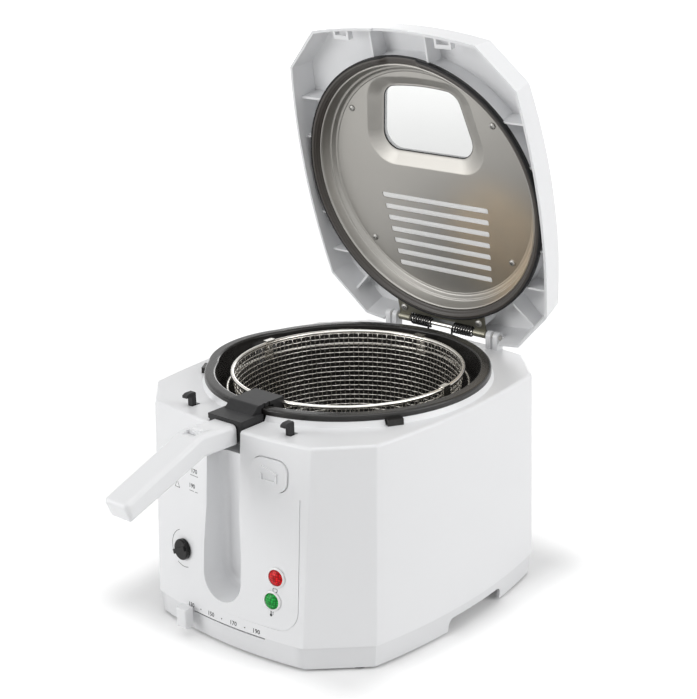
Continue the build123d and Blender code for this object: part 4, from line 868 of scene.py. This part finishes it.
def trim_disc(piece):
    """Cut the lining back to its disc, where the pressed step takes over, and close its edge."""
    def outside(vertex):
        spot = swung(vertex.co, LID_OPEN) - AXIS
        return math.hypot(spot.x, spot.y) > DISC_EDGE
    bm = bmesh.new()
    bm.from_mesh(piece.data)
    beyond = [face for face in bm.faces if all(outside(vertex) for vertex in face.verts)]
    bmesh.ops.delete(bm, geom=beyond, context="FACES")
    bmesh.ops.bridge_loops(bm, edges=[edge for edge in bm.edges if edge.is_boundary])
    bm.to_mesh(piece.data)
    bm.free()


def window_outline():
    """The window's opening in the lining, as places in order round its middle."""
    def seen_from_above(spot):
        return round(spot.x, 5), round(spot.y, 5)
    top = shut_heights("inner_lid")[1]
    spots = shut_places("inner_lid")
    near, far = BACK_OF_SHEET
    lower = {seen_from_above(spot) for spot in spots if near < top - spot.z < far}
    upper = {seen_from_above(spot): spot for spot in spots if abs(spot.z - top) < LEVEL}
    opening = [spot for key, spot in upper.items() if key in lower]
    centre = sum(opening, Vector()) / len(opening)
    return sorted(opening, key=lambda spot: math.atan2(spot.y - centre.y, spot.x - centre.x))


def window_gasket():
    """Thin dark bead between the lining's opening and the glass."""
    outline = window_outline()
    curve = bpy.data.curves.new("window_gasket", "CURVE")
    curve.dimensions = "3D"
    curve.bevel_depth = GASKET["radius"]
    curve.bevel_resolution = 2
    line = curve.splines.new("POLY")
    line.points.add(len(outline) - 1)
    for point, spot in zip(line.points, outline):
        point.co = (*swung(spot - Vector((0.0, 0.0, GASKET["set_back"]))), 1.0)
    line.use_cyclic_u = True
    mesh = curve_mesh(curve)
    for face in mesh.polygons:
        face.use_smooth = True
    return new_piece("window_gasket", mesh, finish("black"))


class FRYER_OT_lining(bpy.types.Operator):
    """Steel lining, seal, window and filter mat"""
    bl_idname = "fryer.lining"
    bl_label = "Lid lining"

    def execute(self, context):
        smooth_group("lining")
        trim_disc(bpy.data.objects["inner_lid_finished"])
        add_to(pressed_step(), "inner_lid")
        stand_for(turned_ring("rubber_seal", "seal", SEAL_PROFILE, SEAL_ARCH), "lid_seal")
        add_to(turned_ring("seal_lip", "black", LIP_PROFILE, SEAL_ARCH), "lid_seal")
        add_to(window_gasket(), "inner_lid")
        pad = stand_for(felt_pad(), "filter_pad")
        return {"FINISHED"}


BASKET_TURN, BASKET_TAPER = 9.0 * MM, 6.0 * MM


class FRYER_OT_basket(bpy.types.Operator):
    """Woven wire basket with its rim, hoop and clips"""
    bl_idname = "fryer.basket"
    bl_label = "Basket"

    def execute(self, context):
        smooth_group("basket")
        sizes = context.scene.fryer_basket
        low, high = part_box("basket_mesh")
        outer = (high.x - low.x) / 2.0
        height = high.z - low.z - sizes.wire
        top = outer - sizes.wire
        base = top - BASKET_TAPER
        shared = {"Wire": sizes.wire, "Material": finish("wire")}
        wall = grown("woven_side", make_wall_tree(), {
            "Columns": 2 * round(math.pi * outer / sizes.pitch),
            "Rows": round((height + EDGE_RUN * BASKET_TURN) / sizes.pitch) + 1, "Top Z": high.z,
            "Height": height, "Top Radius": top, "Base Radius": base, "Turn": BASKET_TURN, "Centre": AXIS,
            **shared})
        stand_for(wall, "basket_mesh")
        inner = base - BASKET_TURN
        overlap = 0.4 * sizes.pitch
        floor = grown("woven_floor", make_floor_tree(), {
            "Count": 2 * round(inner / sizes.pitch) + 1, "Pitch": sizes.pitch,
            "Radius": inner + overlap, "Centre": AXIS + Vector((0.0, 0.0, low.z + sizes.wire)),
            **shared})
        add_to(floor, "basket_mesh")
        return {"FINISHED"}


class FRYER_OT_handle(bpy.types.Operator):
    """Saddle, folding handle, its catch and pin"""
    bl_idname = "fryer.handle"
    bl_label = "Handle"

    def execute(self, context):
        return smooth_group("handle")


HINGE_LEG = 3.0 * MM  # the hinge springs' legs run this far along the lid
LEG_SEAT = 0.2 * MM  # and end this far above the body


def wound(name, tree, key, turns, wire, coil, length, start, turn, legs):
    """Wound spring whose legs are given as four places, start and end of each."""
    return grown(name, tree, {
        "Turns": turns, "Wire": wire, "Coil": coil, "Length": length, "Place": start, "Turn": turn,
        "Material": finish(key), **dict(zip(LEG_ENDS, legs))})


class FRYER_OT_springs(bpy.types.Operator):
    """Wound hinge springs and the latch's return spring"""
    bl_idname = "fryer.springs"
    bl_label = "Springs"

    def execute(self, context):
        smooth_group("hinge")
        tree = make_spring_tree()
        sizes = context.scene.fryer_springs
        for side, node in ((1, "right_hinge_spring"), (-1, "left_hinge_spring")):
            self.hinge_spring(tree, node, side, sizes.hinge_turns, sizes.hinge_wire)
        self.latch_spring(tree, sizes.latch_turns, sizes.latch_wire)
        return {"FINISHED"}

    @staticmethod
    def hinge_spring(tree, node, side, turns, wire):
        """Spring round the hinge rod, with a leg down to the body and one back along the lid."""
        low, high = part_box(node)
        coil = (high.z - HINGE.z) - wire / 2.0
        near, far = (low.x, high.x) if side > 0 else (high.x, low.x)
        start = Vector((near + side * wire / 2.0, HINGE.y, HINGE.z))
        end = Vector((far - side * wire / 2.0, HINGE.y, HINGE.z + coil))
        legs = ((start.x, HINGE.y - coil, HINGE.z), (start.x, HINGE.y - coil, low.z + LEG_SEAT),
                end, end + Vector((0.0, -HINGE_LEG, 0.0)))
        spring = wound(node.replace("hinge_", "") + "_coil", tree, "spring", turns, wire, coil,
                       end.x - start.x, start, (0.0, math.pi / 2.0, 0.0), legs)
        stand_for(spring, node)

    @staticmethod
    def latch_spring(tree, turns, wire):
        """Spring between the latch's cross bar and the body, made at the length of its CAD node; it stays that
        length, though the real spring shortens when the button is pressed.
        """
        low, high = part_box("latch_spring")
        centre = (low + high) / 2.0
        coil = (high.x - low.x - wire) / 2.0
        start = Vector((centre.x, high.y - wire / 2.0, centre.z))
        tail = Vector((coil, 0.0, 0.0))
        nose = start + Vector((0.0, low.y - high.y + wire, 0.0))
        spring = wound("latch_coil", tree, "zinc", turns, wire, coil, high.y - low.y - wire, start,
                       (math.pi / 2.0, 0.0, 0.0), (start + tail, start - tail, nose + tail, nose - tail))
        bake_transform(spring)
        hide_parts("latch_spring")


HEAD_OUTLINE = (  # half section of a pan head of radius 1 with its shank
    (0.0, 0.62), (0.35, 0.60), (0.65, 0.52), (0.88, 0.36), (1.0, 0.14), (1.0, 0.0), (0.5, 0.0), (0.5, -2.2),
    (0.0, -2.2))
CROSS_SIZE, CROSS_Z = (1.1, 0.2, 0.7), 0.6  # each blade of the cross recess, and its middle
SCREWS = {  # head radius, whether it is on the lid, and the places on the shut fryer, in millimetres
    "inner_lid_screws": (2.8, True, [(x, y, 198.4) for x, y in ((-70.5, -59.5), (70.5, -59.5), (-71, 58),
                                                                (71, 58))]),
    "hinge_screws": (3.2, True, [(x, 112.6, 184.1) for x in (-39.0, 39.0)]),
    "base_screws": (3.2, False, [(x, y, 16.4) for x in (-98.0, 98.0) for y in (-70.0, 60.0)]),
}


def screw_head():
    """Pan head of 1 m radius with a cross recess and a shank, to be scaled."""
    bm = bmesh.new()
    line = [bm.verts.new((r, 0.0, z)) for r, z in HEAD_OUTLINE]
    edges = [bm.edges.new(pair) for pair in zip(line, line[1:])]
    bmesh.ops.spin(bm, geom=line + edges, axis=(0, 0, 1), cent=(0, 0, 0), angle=2 * math.pi, steps=28)
    bmesh.ops.remove_doubles(bm, verts=bm.verts, dist=0.001)
    bmesh.ops.recalc_face_normals(bm, faces=bm.faces)
    head = new_piece("screw_head", mesh_of(bm, "screw_head"))
    cutter = bmesh.new()
    for turn in (0.0, math.pi / 2.0):
        size = Matrix.Diagonal((*CROSS_SIZE, 1.0))
        spot = Matrix.Translation((0.0, 0.0, CROSS_Z)) @ Matrix.Rotation(turn, 4, "Z") @ size
        bmesh.ops.create_cube(cutter, size=1.0, matrix=spot)
    cross = new_piece("screw_cross", mesh_of(cutter, "screw_cross"))
    cut = head.modifiers.new("Cross", "BOOLEAN")
    cut.operation = "DIFFERENCE"
    cut.solver = "EXACT"
    cut.use_self = True
    cut.object = cross
    settled(head)
    bpy.data.objects.remove(cross)
    return head


class FRYER_OT_screws(bpy.types.Operator):
    """Pan-head screws of the lid lining, hinge and base"""
    bl_idname = "fryer.screws"
    bl_label = "Screws"

    def execute(self, context):
        tree = make_screw_tree()
        head = screw_head()
        for node, (radius, on_lid, places) in SCREWS.items():
            axis = Vector((0.0, 0.0, -1.0))
            points = [place(*spot) for spot in places]
            if on_lid:
                axis = Matrix.Rotation(-LID_OPEN, 3, "X") @ axis
                points = [swung(point) for point in points]
            mesh = bpy.data.meshes.new(node)
            mesh.from_pydata(points, [], [])
            mesh.attributes.new("axis", "FLOAT_VECTOR", "POINT")
            mesh.attributes["axis"].data.foreach_set("vector", [*axis] * len(points))
            screws = grown(node.replace("_screws", "_pan_screws"), tree, {
                "Head": head, "Scale": radius * MM, "Seed": len(node), "Material": finish("zinc")}, mesh)
            stand_for(screws, node)
        bpy.data.objects.remove(head)
        return {"FINISHED"}


# ---------------- controls and printed marks
# places are x and z in millimetres on the fryer's front, bars are (x, z, width, height, turn in degrees)
STAND_OFF = 0.02 * MM  # between a film and the wall under it
INK_FILM = 0.04 * MM
RAISED = 1.3 * MM
SCALE_Z = 23.5 * MM
SCALE_NUMBERS = (-33.6, -11.1, 12.3, 34.6)
SCALE_DOTS = (-22.4, 0.4, 23.7)
DOT_RADIUS = 0.55 * MM
GUIDE_NUMBERS = (("170", -31.1, 131.3), ("190", -33.5, 119.2))
GUIDE_LINES = ((-31.0, 127.8, 8.6, 0.0), (-31.6, 115.4, 9.4, 0.0))  # x, z, width, turn
GUIDE_TRIANGLE = ((-51.0, 113.6, 6.0, 0.0), (-52.4, 116.2, 5.6, 62.0), (-49.6, 116.2, 5.6, -62.0))
GUIDE_RING = (-51.0, 128.6, 2.3)  # middle and radius
DIAL_RADIUS = 14.6 * MM
DIAL_ARCS = ((112.0, 215.0), (240.0, 292.0))
OPEN_SIGN = ((0.0, -4.6, 14.6, 1.5, 0.0), (-6.5, -2.2, 1.5, 5.0, 0.0), (6.5, -2.2, 1.5, 5.0, 0.0),
             (0.4, 3.4, 14.6, 1.5, -16.0))  # about the button's middle: a box with its lid open
SIGN_PLACE = (-0.4, -9.9)  # from a lamp's middle to its sign's


def wall_of(node):
    """Search tree of a CAD node's surface."""
    mesh = NODES[node].data
    return BVHTree.FromPolygons([v.co for v in mesh.vertices], [p.vertices for p in mesh.polygons])


def on_front(wall, x, z, lift):
    """The place on the front surface straight ahead of (x, z), stood off by lift."""
    spot, normal, _, _ = wall.ray_cast(Vector((x, CAD_BOX[0][1] - 1.0, z)), Vector((0.0, 1.0, 0.0)))
    if spot is None:
        raise RuntimeError(f"nothing in front at {x:.4f}, {z:.4f}")
    return spot + normal * lift


def flat_mesh(shapes):
    """One flat mesh from polygons given as lists of (x, z) in metres."""
    verts, faces = [], []
    for shape in shapes:
        faces.append(list(range(len(verts), len(verts) + len(shape))))
        verts += [(x, 0.0, z) for x, z in shape]
    mesh = bpy.data.meshes.new("shapes")
    mesh.from_pydata(verts, [], faces)
    return mesh


def lay_mark(name, shapes, numbers=(), node="housing", thickness=INK_FILM, key="ink"):
    """Lay numbers and flat shapes on the front of a node as a thin film that rides with it."""
    bm = bmesh.new()
    for mesh in (*numbers, flat_mesh(shapes)):
        bm.from_mesh(mesh)
    for face in bm.faces:
        if face.normal.y > 0:
            face.normal_flip()
    drawing = mesh_of(bm, name)
    wall = wall_of(node)
    for vertex in drawing.vertices:
        vertex.co = on_front(wall, vertex.co.x, vertex.co.z, STAND_OFF)
    piece = new_piece(name, drawing, finish(key))
    film = piece.modifiers.new("Film", "SOLIDIFY")
    film.thickness = thickness
    film.offset = 1.0
    add_to(settled(piece), node)


def arc_strip(x, z, radius, start, end, width, steps=24):
    """Quads of a thin arc."""
    inner, outer = radius - width / 2, radius + width / 2
    shapes = []
    for i in range(steps):
        a, b = (math.radians(start + (end - start) * (i + k) / steps) for k in (0, 1))
        shapes.append([(x + r * math.cos(t), z + r * math.sin(t))
                       for r, t in ((inner, a), (inner, b), (outer, b), (outer, a))])
    return shapes


def bar(x, z, width, height, turn=0.0):
    """A rectangle about its middle."""
    c, s = math.cos(turn), math.sin(turn)
    return [(x + c * u - s * v, z + s * u + c * v)
            for u, v in ((-width / 2, -height / 2), (width / 2, -height / 2), (width / 2, height / 2),
                         (-width / 2, height / 2))]


def disc(x, z, radius, sides=16):
    """A round dot."""
    return [(x + radius * math.cos(2 * math.pi * i / sides), z + radius * math.sin(2 * math.pi * i / sides))
            for i in range(sides)]


def digits(text, x, z, height):
    """Mesh of a number, upright in x and z about (x, z)."""
    curve = bpy.data.curves.new("digits", "FONT")
    curve.body = text
    curve.size = height / 0.7  # a digit is about 0.7 of the font's size
    curve.align_x = "CENTER"
    curve.align_y = "CENTER"
    curve.resolution_u = 4
    curve.offset = 0.02 * height
    mesh = curve_mesh(curve)
    for vertex in mesh.vertices:
        vertex.co = (vertex.co.x + x, 0.0, vertex.co.y + z)
    return mesh


def power_sign(x, z, line):
    """Broken ring with an upright stroke."""
    heavy = 1.3 * line
    return arc_strip(x, z, 1.9 * MM, 125.0, 415.0, heavy) + [bar(x, z + 1.4 * MM, heavy, 2.0 * MM)]


def heat_sign(x, z, line):
    """Thermometer: a bulb, a stem and three ticks."""
    ticks = [bar(x + 1.7 * MM, z + k * 1.1 * MM, 1.1 * MM, line) for k in (0, 1, 2)]
    return [disc(x, z - 1.2 * MM, 1.1 * MM), bar(x, z + 1.0 * MM, 0.9 * MM, 3.4 * MM)] + ticks


class FRYER_OT_controls(bpy.types.Operator):
    """Opening button, lamps, knob, slider and latch"""
    bl_idname = "fryer.controls"
    bl_label = "Controls"

    def execute(self, context):
        return smooth_group("controls")


class FRYER_OT_marks(bpy.types.Operator):
    """Temperature scale, dial arcs and the signs at the button and lamps"""
    bl_idname = "fryer.marks"
    bl_label = "Printed marks"

    def execute(self, context):
        sizes = context.scene.fryer_print
        line = sizes.line
        numbers = [digits(str(sizes.first + sizes.step * i), x * MM, SCALE_Z, sizes.digit)
                   for i, x in enumerate(SCALE_NUMBERS)]
        lay_mark("temperature_scale", [disc(x * MM, SCALE_Z, DOT_RADIUS) for x in SCALE_DOTS], numbers)

        numbers = [digits(text, x * MM, z * MM, sizes.digit) for text, x, z in GUIDE_NUMBERS]
        lines, triangle = ([bar(x * MM, z * MM, width * MM, line, math.radians(turn))
                            for x, z, width, turn in strokes] for strokes in (GUIDE_LINES, GUIDE_TRIANGLE))
        ring = arc_strip(*(size * MM for size in GUIDE_RING), 0.0, 360.0, line)
        lay_mark("heat_guide", lines + ring + triangle, numbers)

        knob = middle("timer_knob")
        lay_mark("timer_dial", [quad for start, end in DIAL_ARCS
                                for quad in arc_strip(knob.x, knob.z, DIAL_RADIUS, start, end, line)])

        for lamp, draw in (("power_lamp", power_sign), ("temperature_lamp", heat_sign)):
            spot = middle(lamp)
            lay_mark(lamp + "_sign", draw(spot.x + SIGN_PLACE[0] * MM, spot.z + SIGN_PLACE[1] * MM, line))

        spot = middle("open_button")
        bars = [bar(spot.x + x * MM, spot.z + z * MM, width * MM, height * MM, math.radians(turn))
                for x, z, width, height, turn in OPEN_SIGN]
        lay_mark("open_sign", bars, node="open_button", thickness=RAISED, key="white")
        return {"FINISHED"}


# ---------------- stage
CAMERA_AT = (0.7828, -0.8416, 0.5948)
CAMERA_AZIMUTH, CAMERA_ELEVATION, CAMERA_ROLL = 41.2, 18.6, -1.4
CAMERA_LENS = 82.59
LAMPS = (  # name, place, looks at, width, height, watts
    ("Top", (0.10, -0.05, 1.60), (0.0, 0.05, 0.15), 1.5, 1.5, 12.5),
    ("Front left", (-0.90, -1.60, 0.60), (0.0, 0.0, 0.18), 1.2, 1.0, 17.0),
    ("Right", (1.50, 0.50, 0.80), (0.0, 0.0, 0.18), 1.2, 1.2, 13.0),
    ("Front right", (1.60, -0.90, 0.70), (0.0, 0.0, 0.18), 1.2, 1.2, 2.0),
    ("Rear", (-1.50, 2.70, 0.60), (0.0, 0.0, 0.20), 1.6, 0.8, 11.0),
)
FLOOR_HALF = 8.0
FOOTPRINT = 0.86  # part of the base's box round which the floor's glow is dimmed, a painted shade all round
NEAR_GLOW = (0.0, 0.06, 0.05, 0.45)  # distances from the footprint, and the glow there; the low glow beside the base is painted shade
FAR_GLOW = (0.3, 2.0, 0.0, 0.50)


def aim(azimuth, elevation, roll):
    """Rotation of a camera that looks along an azimuth, downwards by an elevation."""
    a, e = math.radians(azimuth), math.radians(elevation)
    look = Vector((-math.sin(a) * math.cos(e), math.cos(a) * math.cos(e), -math.sin(e)))
    return look.to_track_quat("-Z", "Y").to_matrix() @ Matrix.Rotation(math.radians(roll), 3, "Z")


def seen_directly(tree):
    """1 for what the camera, a mirror or glass sees, 0 for light on surfaces."""
    path = put(tree, "ShaderNodeLightPath").outputs
    either = calculate(tree, "MAXIMUM", path["Is Camera Ray"], path["Is Glossy Ray"])
    return either.then("MAXIMUM", path["Is Transmission Ray"])


class FRYER_OT_stage(bpy.types.Operator):
    """Floor, backdrop, lamps and camera"""
    bl_idname = "fryer.stage"
    bl_label = "Stage"

    def execute(self, context):
        scene = context.scene
        self.make_camera(scene)
        self.make_world(scene)
        self.make_floor(scene)
        for lamp in LAMPS:
            self.make_lamp(scene, *lamp)
        scene.view_settings.view_transform = "Standard"
        return {"FINISHED"}

    def make_camera(self, scene):
        """Camera in front, to the right and above."""
        data = bpy.data.cameras.new("Camera")
        data.lens = CAMERA_LENS
        data.sensor_width = 36.0
        camera = bpy.data.objects.new("Camera", data)
        camera.location = CAMERA_AT
        camera.rotation_euler = aim(CAMERA_AZIMUTH, CAMERA_ELEVATION, CAMERA_ROLL).to_euler()
        scene.collection.objects.link(camera)
        scene.camera = camera

    def make_lamp(self, scene, name, spot, target, width, height, watts):
        """Broad lamp that only shows by its light and in reflections."""
        light = bpy.data.lights.new(name, "AREA")
        light.shape = "RECTANGLE"
        light.size, light.size_y = width, height
        light.energy = watts * scene.fryer_stage.lamps
        lamp = bpy.data.objects.new(name, light)
        lamp.location = spot
        lamp.visible_camera = False
        lamp.visible_transmission = False
        lamp.rotation_euler = (Vector(target) - Vector(spot)).to_track_quat("-Z", "Y").to_euler()
        scene.collection.objects.link(lamp)

    def make_world(self, scene):
        """White backdrop that lights the pieces less than it shows."""
        world = bpy.data.worlds.new("Studio")
        world.use_nodes = True
        scene.world = world
        tree = world.node_tree
        background = tree.nodes["Background"]
        background.inputs["Color"].default_value = (1.0, 1.0, 1.0, 1.0)
        room = scene.fryer_stage.room
        feed(tree, background, Strength=seen_directly(tree).then("MULTIPLY_ADD", 1.0 - room, room))

    def make_floor(self, scene):
        """Pale floor that glows away from the fryer and glows little beside its base, a painted shade on top of
        the fryer's real shadow.
        """
        bm = bmesh.new()
        bmesh.ops.create_grid(bm, x_segments=1, y_segments=1, size=FLOOR_HALF)
        material, tree, principled, coordinates = new_finish(
            "Studio floor", Roughness=0.9, Emission_Color=(1.0, 1.0, 1.0, 1.0))
        shade = ranged(tree, noise(tree, coordinates, 3.0), 0.0, 1.0, 0.99, 1.0)
        tint = tinted(tree, (*scene.fryer_stage.floor, 1.0), shade)
        low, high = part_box("base_tray")
        centred = on_vectors(tree, "SUBTRACT", coordinates, (low + high) / 2.0)
        beyond = on_vectors(tree, "SUBTRACT", on_vectors(tree, "ABSOLUTE", centred),
                            (high - low) / 2.0 * FOOTPRINT)
        outside = on_vectors(tree, "MAXIMUM", beyond, (0.0, 0.0, 0.0))
        away = on_vectors(tree, "LENGTH", on_vectors(tree, "MULTIPLY", outside, (1.0, 1.0, 0.0)))
        # the glow is low beside the base: painted shade all round the fryer
        near = ranged(tree, away, *NEAR_GLOW, interpolation_type="SMOOTHSTEP")
        glow = seen_directly(tree) * (near + ranged(tree, away, *FAR_GLOW))
        feed(tree, principled, Base_Color=tint, Emission_Strength=glow)
        new_piece("floor", mesh_of(bm, "floor"), material)


OPERATORS = (FRYER_OT_stage, FRYER_OT_body, FRYER_OT_pot, FRYER_OT_inner_parts, FRYER_OT_basket,
             FRYER_OT_handle, FRYER_OT_lid, FRYER_OT_lining, FRYER_OT_springs, FRYER_OT_screws,
             FRYER_OT_controls, FRYER_OT_marks)


class FRYER_PT_panel(bpy.types.Panel):
    """Settings and pieces of the fryer"""
    bl_label = "Deep fryer"
    bl_space_type = "VIEW_3D"
    bl_region_type = "UI"
    bl_category = "Fryer"

    def draw(self, context):
        for name, group in SETTINGS.items():
            box = self.layout.box()
            settings = getattr(context.scene, name)
            for key in group.__annotations__:
                box.prop(settings, key)
        for operator in OPERATORS:
            self.layout.operator(operator.bl_idname)


CLASSES = (*SETTINGS.values(), *OPERATORS, FRYER_PT_panel)


def register():
    for cls in CLASSES:
        bpy.utils.register_class(cls)
    for name, group in SETTINGS.items():
        setattr(bpy.types.Scene, name, PointerProperty(type=group))


def unregister():
    for name in SETTINGS:
        delattr(bpy.types.Scene, name)
    for cls in reversed(CLASSES):
        bpy.utils.unregister_class(cls)


def main():
    register()
    for operator in OPERATORS:
        module, name = operator.bl_idname.split(".")
        getattr(getattr(bpy.ops, module), name)()


if __name__ == "__main__":
    main()
